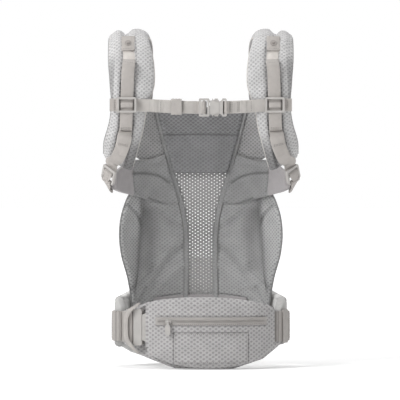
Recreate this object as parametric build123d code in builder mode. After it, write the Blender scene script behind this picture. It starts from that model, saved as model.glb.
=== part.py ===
from build123d import *
from math import asin, cos, degrees, radians, sin, sqrt
import os

# A soft baby carrier in its worn shape, in millimetres: +X is the wearer's right, +Y the way the wearer
# faces, +Z up. The origin is on the ground under the middle of the carrier. The body panel is on the far
# side (+Y). The lumbar pad, the pouch and the chest strap are on the near side (-Y), at the wearer's back.

# ---------------------------------------------------------------- driving dimensions
GAP = 0.3  # air between pieces that lie on each other
REACH = 260.0  # longer than any cut has to be
HEIGHT = 440.0  # taller than the body panel

WEB = 20.0  # width of the shoulder and chest webbing
WAIST_WEB = 48.0
WEB_T = 1.6

FAR_Y = -41.3  # axis of the arcs that the panel and the front of the belt follow
NEAR_Y = 58.7  # axis of the arcs that the lumbar pad and the pouch follow
FAR_R = 150.5  # the belt's middle line: far arc, near arc, corners and straight sides
NEAR_R = 146.0
CORNER_R = 45.0
SIDE_X = 128.0

BELT_HALF = 7.0  # half the thickness of the padded belt
BELT_WALL = 2.0
BELT_END_Y = -25.0
LUMBAR_HALF = 6.5
WAIST_WEB_Z = 64.0  # height of the waist webbing's middle

PANEL_IN, PANEL_OUT = 138.0, 141.0  # radii of the body panel's two faces
WINDOW_IN, WINDOW_OUT = 139.0, 140.6
BAND_IN = 136.0
ROOT_OUT = 144.0
WING_IN = 131.0
THIGH_IN, THIGH_OUT = 133.0, 143.0
PAD_IN = 129.5  # the wearer's side of the head and neck pads

HEAD_FOLD_Z = 361.5
HEAD_TOP_Z = 402.0
WINDOW_TOP_Z = 300.0

STRAP_T = 20.0  # thickness of a shoulder strap
STRAP_WALL = 2.2
CHEST_Z = 408.0  # height of the chest strap
CHEST_WEB_Y = -92.6  # back face of the chest webbing
RAIL_Y = -97.0  # back face of the webbing that the chest strap's sliders ride on
RAIL_LOW, RAIL_HIGH = 370.0, 480.0
RAIL_LEAN = 2.0  # degrees
RAIL_X = 114.2  # at the height of the chest strap

POUCH_IN, POUCH_OUT = 155.4, 172.5
POUCH_LEFT, POUCH_RIGHT = -83.0, 121.0
ZIP_Z = 74.5
ZIP_LEFT, ZIP_RIGHT = -70.0, 102.0

BUCKLE_IN = 155.8  # the waist buckle's inner face is this far from the near axis

# Front-view lines of the left half, from top to bottom. The right half mirrors them.
BAND_OUTER = [(-74, 402), (-58.5, 339), (-47.5, 292), (-36.5, 256), (-28.5, 215), (-27.5, 168), (-29, 62)]
BAND_INNER = [(-67, 402), (-52.5, 339), (-38.5, 292), (-26.5, 253), (-19, 200), (-19, 160), (-22, 62)]
EDGE = [
    (-78, 296), (-106, 273), (-121, 246), (-126.7, 205), (-124, 176), (-114, 136), (-108.5, 118), (-106, 60)
]
CREASE = [(-78, 297), (-92, 262), (-95.5, 207), (-99, 150), (-105.5, 118), (-106, 60)]


# ---------------------------------------------------------------- shared shapes
def loop_line(offset):
    """The closed line of the waist loop, moved outward by offset."""
    far, near, corner = FAR_R + offset, NEAR_R + offset, CORNER_R + offset
    corner_x = SIDE_X - CORNER_R
    far_half = degrees(asin(corner_x / (FAR_R - CORNER_R)))
    near_half = degrees(asin(corner_x / (NEAR_R - CORNER_R)))
    far_corner_y = FAR_Y + (FAR_R - CORNER_R) * cos(radians(far_half))
    near_corner_y = NEAR_Y - (NEAR_R - CORNER_R) * cos(radians(near_half))
    side = SIDE_X + offset
    CenterArc((0, FAR_Y), far, 90 - far_half, 2 * far_half)
    CenterArc((corner_x, far_corner_y), corner, 0, 90 - far_half)
    CenterArc((-corner_x, far_corner_y), corner, 90 + far_half, 90 - far_half)
    Line((side, far_corner_y), (side, near_corner_y))
    Line((-side, far_corner_y), (-side, near_corner_y))
    CenterArc((corner_x, near_corner_y), corner, near_half - 90, 90 - near_half)
    CenterArc((-corner_x, near_corner_y), corner, 180, 90 - near_half)
    CenterArc((0, NEAR_Y), near, 270 - near_half, 2 * near_half)


def loop_ring(inner, outer):
    """Plan of the space between two offsets of the waist loop."""
    with BuildSketch() as ring:
        with BuildLine():
            loop_line(outer)
        make_face()
        with BuildLine():
            loop_line(inner)
        make_face(mode=Mode.SUBTRACT)
    return ring.sketch


def outline(plane, *runs):
    """A face bounded by runs of points: two points are a straight line, more are a smooth curve."""
    with BuildSketch(plane) as face:
        with BuildLine():
            for run in runs:
                if len(run) > 2:
                    Spline(*run)
                else:
                    Line(*run)
        make_face()
    return face.sketch


def loop_band(inner, outer, front, side):
    """A stretch of band on the waist loop, cut to a front view and a side view."""
    with BuildPart() as band:
        extrude(loop_ring(inner, outer), amount=HEIGHT)
        extrude(front, amount=REACH, both=True, mode=Mode.INTERSECT)
        extrude(side, amount=REACH, both=True, mode=Mode.INTERSECT)
    return band


def far_sheet(inner, outer, *runs):
    """A curved sheet on the panel's arc, cut to a front-view outline."""
    with BuildPart() as sheet:
        with BuildSketch():
            with Locations((0, FAR_Y)):
                Circle(outer)
                Circle(inner, mode=Mode.SUBTRACT)
        extrude(amount=HEIGHT)
        extrude(outline(Plane.XZ.offset(-FAR_Y), *runs), amount=-REACH, mode=Mode.INTERSECT)
    return sheet


def near_sheet(inner, outer, *runs):
    """A curved sheet on the pouch's arc, cut to a front-view outline."""
    with BuildPart() as sheet:
        with BuildSketch():
            with Locations((0, NEAR_Y)):
                Circle(outer)
                Circle(inner, mode=Mode.SUBTRACT)
        extrude(amount=HEIGHT)
        extrude(outline(Plane.XZ.offset(-NEAR_Y), *runs), amount=REACH, mode=Mode.INTERSECT)
    return sheet


def box_runs(left, right, low, high):
    """A front-view rectangle, as runs for an outline."""
    corners = [(left, low), (right, low), (right, high), (left, high), (left, low)]
    return [corners[i : i + 2] for i in range(4)]


def mirrored(piece):
    """The same piece on the other side of the carrier."""
    with BuildPart() as twin:
        mirror(piece.part, about=Plane.YZ)
    return twin


def hollow(outer, cavity):
    """A cover: a shape with a closed cavity in it."""
    with BuildPart() as cover:
        add(outer.part)
        add(cavity.part, mode=Mode.SUBTRACT)
    return cover


def near_plane(angle, radius, height):
    """A plane that touches the pouch's arc: its x runs along the arc towards +X and its z points outward."""
    a = radians(angle)
    return Plane(
        origin=(radius * sin(a), NEAR_Y - radius * cos(a), height),
        x_dir=(cos(a), sin(a), 0),
        z_dir=(sin(a), -cos(a), 0),
    )


def write(pieces):
    os.makedirs("parts", exist_ok=True)
    for name, piece in pieces.items():
        piece.part.label = name
        export_step(piece.part, f"parts/{name}.step")


pieces = {}

# ---------------------------------------------------------------- padded waist belt and its foam
BELT_TOP_RIGHT = [(60, 120), (110, 120), (128, 112), (140, 104)]
BELT_TOP = [(-x, z) for x, z in reversed(BELT_TOP_RIGHT)] + [(0, 118)] + BELT_TOP_RIGHT
BELT_BOTTOM = [(140, 42), (125, 31), (110, 22), (60, 0)]


def belt_front(inset):
    top = [(x * (1 - inset / 140), z - inset) for x, z in BELT_TOP]
    low = [(x * (1 - inset / 140), z + inset) for x, z in BELT_BOTTOM]
    low_left = [(-x, z) for x, z in reversed(low)]
    return outline(
        Plane.XZ, top, [top[-1], low[0]], low, [low[-1], low_left[0]], low_left, [low_left[-1], top[0]]
    )


def belt_side(inset):
    end, back = BELT_END_Y + inset, 135
    tip = [(5, 130 - inset), (end + 6, 108 - inset), (end, 76), (end + 4, 50 + inset), (25, inset - 5)]
    return outline(
        Plane.YZ, tip, [tip[-1], (back, inset - 5)], [(back, inset - 5), (back, 130)], [(back, 130), tip[0]]
    )


belt_outer = loop_band(-BELT_HALF, BELT_HALF, belt_front(0), belt_side(0))
belt_cavity = loop_band(BELT_WALL - BELT_HALF, BELT_HALF - BELT_WALL, belt_front(4), belt_side(4))
pieces["waist_belt_cover"] = hollow(belt_outer, belt_cavity)
pieces["waist_belt_foam"] = loop_band(
    BELT_WALL - BELT_HALF + GAP, BELT_HALF - BELT_WALL - GAP, belt_front(5), belt_side(5)
)

# ---------------------------------------------------------------- lumbar pad and its foam
LUMBAR_TOP = [(-118, 88), (-80, 103), (0, 111), (80, 104), (122, 88)]
LUMBAR_LOW = [(122, 36), (95, 14), (50, 0)]
LUMBAR_LOW_LEFT = [(-40, 0), (-85, 17), (-118, 38)]


def lumbar_front(inset):
    top = [(x * (1 - inset / 120), z - inset) for x, z in LUMBAR_TOP]
    low = [(x * (1 - inset / 120), z + inset) for x, z in LUMBAR_LOW]
    left = [(x * (1 - inset / 120), z + inset) for x, z in LUMBAR_LOW_LEFT]
    return outline(
        Plane.XZ, top, [top[-1], low[0]], low, [low[-1], left[0]], left, [left[-1], top[0]]
    )


near_half_side = outline(Plane.YZ, *box_runs(-REACH, -30, -10, 200))
lumbar_outer = loop_band(-LUMBAR_HALF, LUMBAR_HALF, lumbar_front(0), near_half_side)
lumbar_cavity = loop_band(BELT_WALL - LUMBAR_HALF, LUMBAR_HALF - BELT_WALL, lumbar_front(4), near_half_side)
pieces["lumbar_pad_cover"] = hollow(lumbar_outer, lumbar_cavity)
pieces["lumbar_pad_foam"] = loop_band(
    BELT_WALL - LUMBAR_HALF + GAP, LUMBAR_HALF - BELT_WALL - GAP, lumbar_front(5), near_half_side
)

# ---------------------------------------------------------------- waist webbing
web_in, web_out = BELT_HALF + GAP, BELT_HALF + GAP + WEB_T
web_low, web_high = WAIST_WEB_Z - WAIST_WEB / 2, WAIST_WEB_Z + WAIST_WEB / 2
webbing_side = outline(Plane.YZ, *box_runs(-REACH, 18, web_low, web_high))
pieces["waist_webbing_left"] = loop_band(
    web_in, web_out, outline(Plane.XZ, *box_runs(-160, -96, 0, 200)), webbing_side
)
pieces["waist_webbing_right"] = loop_band(
    web_in, web_out, outline(Plane.XZ, *box_runs(-44, 160, 0, 200)), webbing_side
)
TAIL_IN = web_out + GAP
tail_side = outline(Plane.YZ, *box_runs(-38, 12, web_low + 1, web_high - 1))
short_tail_side = outline(Plane.YZ, *box_runs(-14, 14, web_low + 1, web_high - 1))
pieces["waist_tail_left"] = loop_band(
    TAIL_IN, TAIL_IN + 2 * WEB_T, outline(Plane.XZ, *box_runs(-160, -110, 0, 200)), tail_side
)
pieces["waist_tail_right"] = loop_band(
    TAIL_IN, TAIL_IN + 2 * WEB_T, outline(Plane.XZ, *box_runs(125, 160, 0, 200)), short_tail_side
)
keeper_side = outline(Plane.YZ, *box_runs(-32, -16, web_low - 3, web_high + 3))
pieces["waist_keeper_right"] = loop_band(
    TAIL_IN, TAIL_IN + WEB_T, outline(Plane.XZ, *box_runs(90, 160, 0, 200)), keeper_side
)


# ---------------------------------------------------------------- side-release buckles
def side_release_buckle(plane, width, thick, ladder, socket, arm, web, waisted):
    """Female half, male half with its ladder, and the two prongs that are squeezed to let go.

    In the plane, x is the way the male half pulls out, from the socket's mouth at 0, y is across the
    webbing and z runs through the buckle from its back face. The prongs turn about knuckles in the male
    half. The ledges that their barbs hook on are left out.
    """
    wall = thick * 0.22
    knuckle_r, knuckle_x, knuckle_y = thick * 0.32, thick * 0.34, width * 0.33
    slot_half = web / 2 + 0.8
    middle = plane.offset(wall + GAP)
    middle_t = thick - 2 * (wall + GAP)

    with BuildPart() as female:
        with BuildSketch(plane):
            with Locations((-socket / 2, 0)):
                RectangleRounded(socket, width, 2.0)
            with Locations((0, width / 2), (0, -width / 2)):
                Circle(width * 0.14, mode=Mode.SUBTRACT)
            with Locations((-socket + 4.2, 0)):
                Rectangle(3.2, 2 * slot_half, mode=Mode.SUBTRACT)
            if waisted:
                with Locations((-socket * 0.46, width * 0.62), (-socket * 0.46, -width * 0.62)):
                    Circle(width * 0.3, mode=Mode.SUBTRACT)
        extrude(amount=thick)
        with BuildSketch(plane.offset(wall)):
            with Locations((-(arm + 2) / 2, 0)):
                Rectangle(arm + 2.1, width + 2)
        extrude(amount=thick - 2 * wall, mode=Mode.SUBTRACT)

    with BuildPart() as male:
        with BuildSketch(plane):
            with Locations((ladder / 2 + 0.3, 0)):
                RectangleRounded(ladder - 0.6, width, width * 0.07)
            with Locations((ladder - 11.5, 0), (ladder - 4.6, 0)):
                Rectangle(3.2, 2 * slot_half, mode=Mode.SUBTRACT)
        extrude(amount=thick)
        with BuildSketch(middle):
            with Locations((-arm / 2 + 1.2, 0)):
                RectangleRounded(arm, width * 0.2, 1.2)
        extrude(amount=middle_t)
        with BuildSketch(middle.offset(-0.2)):
            with Locations((knuckle_x, knuckle_y), (knuckle_x, -knuckle_y)):
                Circle(knuckle_r + 0.2)
            with Locations((0, knuckle_y), (0, -knuckle_y)):
                Rectangle(2 * knuckle_x, 2 * knuckle_r + 0.9)
        extrude(amount=middle_t + 0.4, mode=Mode.SUBTRACT)

    prongs = []
    for side in (1, -1):
        inner, outer, edge = knuckle_y - knuckle_r * 0.7, knuckle_y + knuckle_r * 0.7, width / 2 - 0.2
        with BuildPart() as prong:
            with BuildSketch(middle):
                with Locations((knuckle_x, side * knuckle_y)):
                    Circle(knuckle_r)
                with BuildLine():
                    Polyline(
                        (knuckle_x, side * outer),
                        (-arm * 0.42, side * outer),
                        (-arm * 0.5, side * edge),
                        (-arm * 0.8, side * edge),
                        (-arm, side * (inner + 1)),
                        (-arm * 0.6, side * inner),
                        (knuckle_x, side * inner),
                        close=True,
                    )
                make_face()
            extrude(amount=middle_t)
        prongs.append(prong)
    return female, male, prongs[0], prongs[1]


WAIST_BUCKLE = dict(width=56.0, thick=9.0, ladder=28.0, socket=42.0, arm=24.0, web=WAIST_WEB, waisted=False)
WAIST_MOUTH_X = -87.0
# The socket's middle touches the arc, so that the buckle lies as a straight box along the curved pad. The
# angle is found by repeating, because the mouth's place depends on it.
mouth_reach = WAIST_BUCKLE["socket"] / 2
buckle_angle = 0.0
for _ in range(20):
    buckle_angle = degrees(asin((-WAIST_MOUTH_X - mouth_reach * cos(radians(buckle_angle))) / BUCKLE_IN))
buckle_tangent = near_plane(-buckle_angle, BUCKLE_IN, WAIST_WEB_Z)
waist_plane = Plane(
    origin=buckle_tangent.origin - buckle_tangent.x_dir * mouth_reach,
    x_dir=-buckle_tangent.x_dir,
    z_dir=buckle_tangent.z_dir,
)
(
    pieces["waist_buckle_socket"],
    pieces["waist_buckle_plug"],
    pieces["waist_prong_lower"],
    pieces["waist_prong_upper"],
) = side_release_buckle(waist_plane, **WAIST_BUCKLE)

# Elastic safety loop: a thin band that stands in front of the webbing and is sewn to the lumbar pad.
SAFETY_R = BUCKLE_IN + WAIST_BUCKLE["thick"] + 10.5
safety_left = [(-96, 103), (-117, 84), (-120, 62), (-116, 40), (-98, 21)]
safety_right = [(-87, 21), (-105, 42), (-109, 62), (-106, 82), (-85, 103)]
safety_band = near_sheet(
    SAFETY_R,
    SAFETY_R + 1.4,
    safety_left,
    [safety_left[-1], safety_right[0]],
    safety_right,
    [safety_right[-1], safety_left[0]],
)
with BuildPart() as safety_loop:
    add(safety_band.part)
    for x, z in ((-91, 101.5), (-93, 22.5)):
        foot = box_runs(x - 4, x + 4, z - 1.2, z + 1.2)
        add(near_sheet(LUMBAR_HALF + NEAR_R + GAP, SAFETY_R + 1.4, *foot).part)
pieces["waist_safety_loop"] = safety_loop

# ---------------------------------------------------------------- pouch with its zip
POUCH_TOP = [(POUCH_LEFT, 100), (0, 109), (60, 106), (POUCH_RIGHT, 92)]
POUCH_LOW = [(POUCH_RIGHT, 32), (85, 11), (30, 2.5), (-20, 4), (-55, 12), (POUCH_LEFT, 24)]


def pouch_front(inset):
    middle = (POUCH_LEFT + POUCH_RIGHT) / 2
    share = 1 - 2 * inset / (POUCH_RIGHT - POUCH_LEFT)
    top = [(middle + (x - middle) * share, z - inset) for x, z in POUCH_TOP]
    low = [(middle + (x - middle) * share, z + inset) for x, z in POUCH_LOW]
    return [top, [top[-1], low[0]], low, [low[-1], top[0]]]


pouch_shape = near_sheet(POUCH_IN, POUCH_OUT, *pouch_front(0))
buckle_room = near_sheet(POUCH_IN - 1, BUCKLE_IN + 11, *box_runs(-120, -42, 0, 200))
pouch_cavity = near_sheet(POUCH_IN + 2, POUCH_OUT - 2, *pouch_front(6))
buckle_wall = near_sheet(POUCH_IN, BUCKLE_IN + 13, *box_runs(-120, -40, 0, 200))
with BuildPart() as pouch_room:
    add(pouch_cavity.part)
    add(buckle_wall.part, mode=Mode.SUBTRACT)
with BuildPart() as pouch_body:
    add(pouch_shape.part)
    add(buckle_room.part, mode=Mode.SUBTRACT)
    add(pouch_room.part, mode=Mode.SUBTRACT)
pieces["pouch_body"] = pouch_body

on_pouch = POUCH_OUT + GAP
pieces["pouch_front_pocket"] = near_sheet(on_pouch, on_pouch + 1.0, *box_runs(-42, 73, 8, 56))
with BuildPart() as zip_tape:
    add(near_sheet(on_pouch, on_pouch + 0.8, *box_runs(ZIP_LEFT, ZIP_RIGHT, ZIP_Z - 6, ZIP_Z + 6)).part)
    for x in (ZIP_LEFT + 1, ZIP_RIGHT - 3):
        add(near_sheet(on_pouch, on_pouch + 2.2, *box_runs(x, x + 1.8, ZIP_Z - 3.5, ZIP_Z + 3.5)).part)
pieces["zip_tape"] = zip_tape
coil_in = on_pouch + 0.8 + 0.1
pieces["zip_coil"] = near_sheet(
    coil_in, coil_in + 1.2, *box_runs(ZIP_LEFT + 3, ZIP_RIGHT - 3, ZIP_Z - 1.6, ZIP_Z + 1.6)
)
SLIDER_R = coil_in + 1.2 + 0.25
SLIDER_ANGLE = degrees(asin(-50.0 / SLIDER_R))
slider_plane = near_plane(SLIDER_ANGLE, SLIDER_R, ZIP_Z)
CROWN_OUT, CROWN_R, EYE_R = 2.9, 0.7, 1.55
with BuildPart() as zip_slider:
    with BuildSketch(slider_plane):
        SlotOverall(10, 7.5)
    extrude(amount=1.0)
    with BuildSketch(slider_plane.offset(1.0)):
        with Locations((-3.4, 0), (3.4, 0)):
            Rectangle(1.2, 2.2)
    extrude(amount=2.6)
    with BuildSketch(
        Plane(
            origin=slider_plane.from_local_coords(Vector(-3.4, 0, CROWN_OUT)),
            x_dir=slider_plane.z_dir,
            z_dir=slider_plane.x_dir,
        )
    ):
        Circle(CROWN_R)
    extrude(amount=6.8)
pieces["zip_slider"] = zip_slider

# The pull's eye turns on the slider's round crown.
pull_plane = slider_plane.offset(CROWN_OUT)
eye_end = Plane(
    origin=pull_plane.from_local_coords(Vector(-1.6, 0, 0)), x_dir=slider_plane.z_dir, z_dir=slider_plane.x_dir
)
with BuildPart() as zip_pull:
    with BuildSketch(pull_plane.offset(-0.65)):
        with Locations((0, -3.4)):
            Rectangle(3.2, 5.4)
        with Locations((0, -13.0)):
            SlotOverall(17.0, 8.4, rotation=90)
    extrude(amount=1.3)
    with BuildSketch(eye_end):
        Circle(EYE_R)
    extrude(amount=3.2)
    with BuildSketch(eye_end.offset(-1)):
        Circle(CROWN_R + 0.08)
    extrude(amount=5.2, mode=Mode.SUBTRACT)
pieces["zip_pull"] = zip_pull

# ---------------------------------------------------------------- body panel
SEAT_SIDE = [(-24.5, 60), (-23, 165), (-23, 200), (-31, 254), (-43, 297)]
pieces["seat_panel_left"] = far_sheet(
    PANEL_IN, PANEL_OUT, CREASE, [CREASE[-1], SEAT_SIDE[0]], SEAT_SIDE, [SEAT_SIDE[-1], CREASE[0]]
)

# The thigh pad runs from the leg opening's edge to the crease, and stops below the wing.
THIGH_TOP_Z = 261.5
thigh_edge = EDGE[1:-1]
inside = [(-60, thigh_edge[-1][1]), (-60, thigh_edge[0][1])]
thigh_whole = far_sheet(
    THIGH_IN, THIGH_OUT, thigh_edge, [thigh_edge[-1], inside[0]], inside, [inside[-1], thigh_edge[0]]
)
past_crease = [(-20, CREASE[-1][1]), (-20, CREASE[0][1])]
seat_room = far_sheet(
    THIGH_IN - 1, THIGH_OUT + 1, CREASE, [CREASE[-1], past_crease[0]], past_crease, [past_crease[-1], CREASE[0]]
)
with BuildPart() as thigh_pad_left:
    add(thigh_whole.part)
    add(seat_room.part, mode=Mode.SUBTRACT)
    split(bisect_by=Plane.XY.offset(THIGH_TOP_Z), keep=Keep.BOTTOM)
pieces["thigh_pad_left"] = thigh_pad_left

window_side = [(-22.5, 60), (-22.4, 165), (-22.3, 200), (-30.3, 254), (-42, 297), (-56, HEAD_FOLD_Z - 0.6)]
window_twin = [(-x, z) for x, z in reversed(window_side)]
pieces["mesh_window"] = far_sheet(
    WINDOW_IN,
    WINDOW_OUT,
    window_side,
    [window_side[-1], window_twin[0]],
    window_twin,
    [window_twin[-1], window_side[0]],
)
pieces["outer_base_panel"] = far_sheet(
    PANEL_OUT + GAP, PANEL_OUT + GAP + 1.6, *box_runs(-48, 48, 104, 168)
)
pieces["trim_band_left"] = far_sheet(
    BAND_IN,
    PANEL_IN - GAP,
    BAND_OUTER,
    [BAND_OUTER[-1], BAND_INNER[-1]],
    list(reversed(BAND_INNER)),
    [BAND_INNER[0], BAND_OUTER[0]],
)

# Side wing: the broad tab of the panel that comes round the wearer's ribs to the shoulder strap.
WING_TOP = [(-59.5, 331), (-83, 323), (-108, 321.5), (-121, 303), (-134.5, 288), (-136, 279)]
WING_LOW = [(-136, 279), (-114, 269.5), (-92, 262), (-60, 253), (-38, 256)]
WING_BAND = [(-38, 256), (-48.7, 292), (-59.5, 331)]
pieces["side_wing_left"] = far_sheet(WING_IN, PANEL_IN - GAP, WING_TOP, WING_LOW, WING_BAND)

# Strap root: the flared foot of the shoulder strap, sewn behind the wing and beside the head support.
ROOT_TOP_Z = 424.4
STRAP_END_Z = 425.0
ROOT_LINE = [(-76, ROOT_TOP_Z), (-74.5, 392), (-59, 339), (-51, 312)]
ROOT_LEFT = [(-51, 312), (-78, 315), (-101, 326), (-116, 354), (-127, 385), (-128, ROOT_TOP_Z)]
pieces["strap_root_left"] = far_sheet(
    PANEL_IN, ROOT_OUT, ROOT_LINE, ROOT_LEFT, [(-128, ROOT_TOP_Z), (-76, ROOT_TOP_Z)]
)

# Neck pad, and the head support above it that folds outward.
NECK_SIDE = [(-40, WINDOW_TOP_Z), (-51, 339), (-56.4, HEAD_FOLD_Z - 0.6)]
neck_twin = [(-x, z) for x, z in reversed(NECK_SIDE)]
pieces["neck_pad"] = far_sheet(
    PAD_IN, PANEL_IN - GAP, NECK_SIDE, [NECK_SIDE[-1], neck_twin[0]], neck_twin, [neck_twin[-1], NECK_SIDE[0]]
)
HEAD_SIDE = [(-57, HEAD_FOLD_Z + 0.6), (-66, HEAD_TOP_Z)]
HEAD_TOP = [(-66, HEAD_TOP_Z), (0, HEAD_TOP_Z + 3), (66, HEAD_TOP_Z)]
head_twin = [(-x, z) for x, z in reversed(HEAD_SIDE)]
head_face = [HEAD_SIDE, HEAD_TOP, head_twin, [head_twin[-1], HEAD_SIDE[0]]]
pieces["head_cushion"] = far_sheet(PAD_IN, PANEL_IN - GAP, *head_face)
pieces["head_backing"] = far_sheet(PANEL_IN, PANEL_OUT, *head_face)


# ---------------------------------------------------------------- shoulder straps
# Stations down the middle of the left strap: x, y, z, width, and the turn of its width about Z.
STRAP_STATIONS = [
    (-129, -60, 324, 44, 0),
    (-125, -71, 345, 50, 0),
    (-117, -79, 375, 57, 0),
    (-112, -81.5, 405, 64, 0),
    (-109.5, -81, 440, 70, 0),
    (-110, -72, 473, 70, 0),
    (-112, -51, 501, 66, 2),
    (-112.5, -18, 514, 64, 6),
    (-109, 15, 505, 64, 14),
    (-105, 37, 480, 64, 28),
    (-101, 46, 452, 62, 40),
    (-99, 53, STRAP_END_Z, 60, 44),
]


def station_plane(stations, i):
    """The plane across a strap at one station, its x along the strap's width."""
    before, after = stations[max(i - 1, 0)], stations[min(i + 1, len(stations) - 1)]
    along = Vector(*[after[k] - before[k] for k in range(3)]).normalized()
    if i == 0:
        along = Vector(0, 0, 1)
    if i == len(stations) - 1:
        along = Vector(0, 0, -1)
    turn = radians(stations[i][4])
    across = Vector(cos(turn), sin(turn), 0)
    across = (across - along * across.dot(along)).normalized()
    return Plane(origin=stations[i][:3], x_dir=across, z_dir=along)


def strap_loft(stations, inset, picks):
    """A lofted bar through the stations, thinner and narrower by inset all round."""
    with BuildPart() as bar:
        for i in picks:
            with BuildSketch(station_plane(stations, i)):
                RectangleRounded(stations[i][3] - 2 * inset, STRAP_T - 2 * inset, 6 - inset)
        loft(ruled=True)
    return bar


whole = range(len(STRAP_STATIONS))
shoulder_outer = strap_loft(STRAP_STATIONS, 0, whole)
shoulder_cavity = strap_loft(STRAP_STATIONS, STRAP_WALL, whole[1:-1])
pieces["shoulder_strap_left"] = hollow(shoulder_outer, shoulder_cavity)
pieces["shoulder_foam_left"] = strap_loft(STRAP_STATIONS, STRAP_WALL + GAP, whole[2:-2])


# ---------------------------------------------------------------- webbing on the shoulder straps
rail_plane = Plane(
    origin=(-RAIL_X, RAIL_Y, CHEST_Z),
    x_dir=(cos(radians(RAIL_LEAN)), 0, -sin(radians(RAIL_LEAN))),
    z_dir=(0, -1, 0),
)
with BuildPart() as rail_left:
    with BuildSketch(rail_plane):
        with Locations((0, (RAIL_LOW + RAIL_HIGH) / 2 - CHEST_Z)):
            Rectangle(WEB, RAIL_HIGH - RAIL_LOW)
    extrude(amount=WEB_T)
    with BuildSketch(rail_plane):
        with Locations((0, RAIL_LOW + 4 - CHEST_Z), (0, RAIL_HIGH - 4 - CHEST_Z)):
            Rectangle(WEB, 8)
    extrude(amount=-16)
    add(shoulder_outer.part, mode=Mode.SUBTRACT)
    split(bisect_by=Plane.XZ.offset(86), keep=Keep.TOP)
pieces["rail_webbing_left"] = rail_left

# Snap tab at the top of the strap, with the stud that an add-on hood snaps to.
SNAP_TILT = 37.2
SNAP_TAB_T, SNAP_BASE_T, SNAP_POST_R, SNAP_POST_H = 2.0, 1.0, 2.2, 2.6
for side, x in (("left", -112.5), ("right", 112.5)):
    snap_plane = Plane(
        origin=(x, -62.9, 502.7),
        x_dir=(1, 0, 0),
        z_dir=(0, -cos(radians(SNAP_TILT)), sin(radians(SNAP_TILT))),
    )
    with BuildPart() as snap_tab:
        with BuildSketch(snap_plane):
            RectangleRounded(21, 30, 1.5)
        extrude(amount=SNAP_TAB_T)
    with BuildPart() as snap_stud:
        with BuildSketch(snap_plane.offset(SNAP_TAB_T + 0.05)):
            Circle(5.2)
        extrude(amount=SNAP_BASE_T)
        with BuildSketch(snap_plane.offset(SNAP_TAB_T + 0.05 + SNAP_BASE_T)):
            Circle(SNAP_POST_R)
        extrude(amount=SNAP_POST_H)
    pieces["snap_tab_" + side] = snap_tab
    pieces["snap_stud_" + side] = snap_stud

# Ladder lock at the side, turned so that its bars run forward, outward and upward.
bar_dir = Vector(-0.627, 0.63, 0.458).normalized()
strap_up = Vector(0.2, -0.46, 0.865)
strap_up = (strap_up - bar_dir * strap_up.dot(bar_dir)).normalized()
lock_normal = bar_dir.cross(strap_up).normalized() * -1
LOCK_W, LOCK_L, LOCK_T, LOCK_BAR_R = 29.0, 25.0, 4.0, 2.0
LOCK_PIVOT = -11.0
lock_centre = Vector(-142.5, -63, 300)
lock_plane = Plane(origin=lock_centre, x_dir=bar_dir * -1, z_dir=lock_normal)
with BuildPart() as adjuster_left:
    with BuildSketch(lock_plane.offset(-LOCK_T / 2)):
        with Locations((0, 0.75)):
            RectangleRounded(LOCK_W, LOCK_L - 1.5, 3)
        with Locations((0, 6.2)):
            Rectangle(WEB + 2, 4.4, mode=Mode.SUBTRACT)
        with Locations((0, -6.6)):
            Rectangle(WEB + 2, 13.0, mode=Mode.SUBTRACT)
    extrude(amount=LOCK_T)
    bar_end = lock_plane.from_local_coords(Vector(-WEB / 2 - 2, LOCK_PIVOT, 0))
    with BuildSketch(Plane(origin=bar_end, x_dir=lock_normal, z_dir=lock_plane.x_dir)):
        Circle(LOCK_BAR_R)
    extrude(amount=WEB + 4)
pieces["adjuster_left"] = adjuster_left

# Webbing tab: a sewn eye around the ladder lock's lower bar, and the tail that joins it to the wing.
pivot = lock_plane.from_local_coords(Vector(0, LOCK_PIVOT, 0))
wing_end = Vector(-139.6, -36.5, 282)
eye_plane = Plane(origin=pivot - lock_plane.x_dir * (WEB / 2), x_dir=lock_normal, z_dir=lock_plane.x_dir)
toward_wing = wing_end - pivot
toward_wing = (toward_wing - lock_plane.x_dir * toward_wing.dot(lock_plane.x_dir)).normalized()
tab_start = Plane(origin=pivot + toward_wing * (LOCK_BAR_R + 0.5), x_dir=lock_plane.x_dir, z_dir=toward_wing)
tab_end = Plane(origin=wing_end, x_dir=(0, -0.35, -0.94), z_dir=(0.25, 0.9, -0.33))
with BuildPart() as wing_tab_left:
    with BuildSketch(tab_start):
        Rectangle(WEB, WEB_T + 1)
    with BuildSketch(tab_end):
        Rectangle(WEB, WEB_T + 1)
    loft(ruled=True)
    with BuildSketch(eye_plane):
        Circle(LOCK_BAR_R + 0.1 + WEB_T)
        Circle(LOCK_BAR_R + 0.1, mode=Mode.SUBTRACT)
    extrude(amount=WEB)
    with BuildSketch(eye_plane.offset(-1)):
        Circle(LOCK_BAR_R + 0.1)
    extrude(amount=WEB + 2, mode=Mode.SUBTRACT)
pieces["wing_tab_left"] = wing_tab_left

# Webbing from the end of the padded strap down to the ladder lock.
lock_top = lock_plane.from_local_coords(Vector(0, 15.5, 0.5))
web_stations = [
    ((-117.6, -97.8, 362), (1, 0, 0), (-0.1, 0.05, -1)),
    ((-121.5, -95, 343), (1, 0.05, -0.2), (-0.3, 0.2, -1)),
    ((-129, -85, 325), (0.9, -0.3, -0.35), (-0.3, 0.5, -1)),
    (tuple(lock_top), tuple(lock_plane.x_dir), tuple(lock_plane.y_dir * -1)),
]
with BuildPart() as strap_web_left:
    for point, across, along in web_stations:
        across = Vector(*across)
        along = Vector(*along).normalized()
        across = (across - along * across.dot(along)).normalized()
        with BuildSketch(Plane(origin=point, x_dir=across, z_dir=along)):
            Rectangle(WEB, WEB_T)
    loft(ruled=True)
pieces["strap_webbing_left"] = strap_web_left


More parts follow.
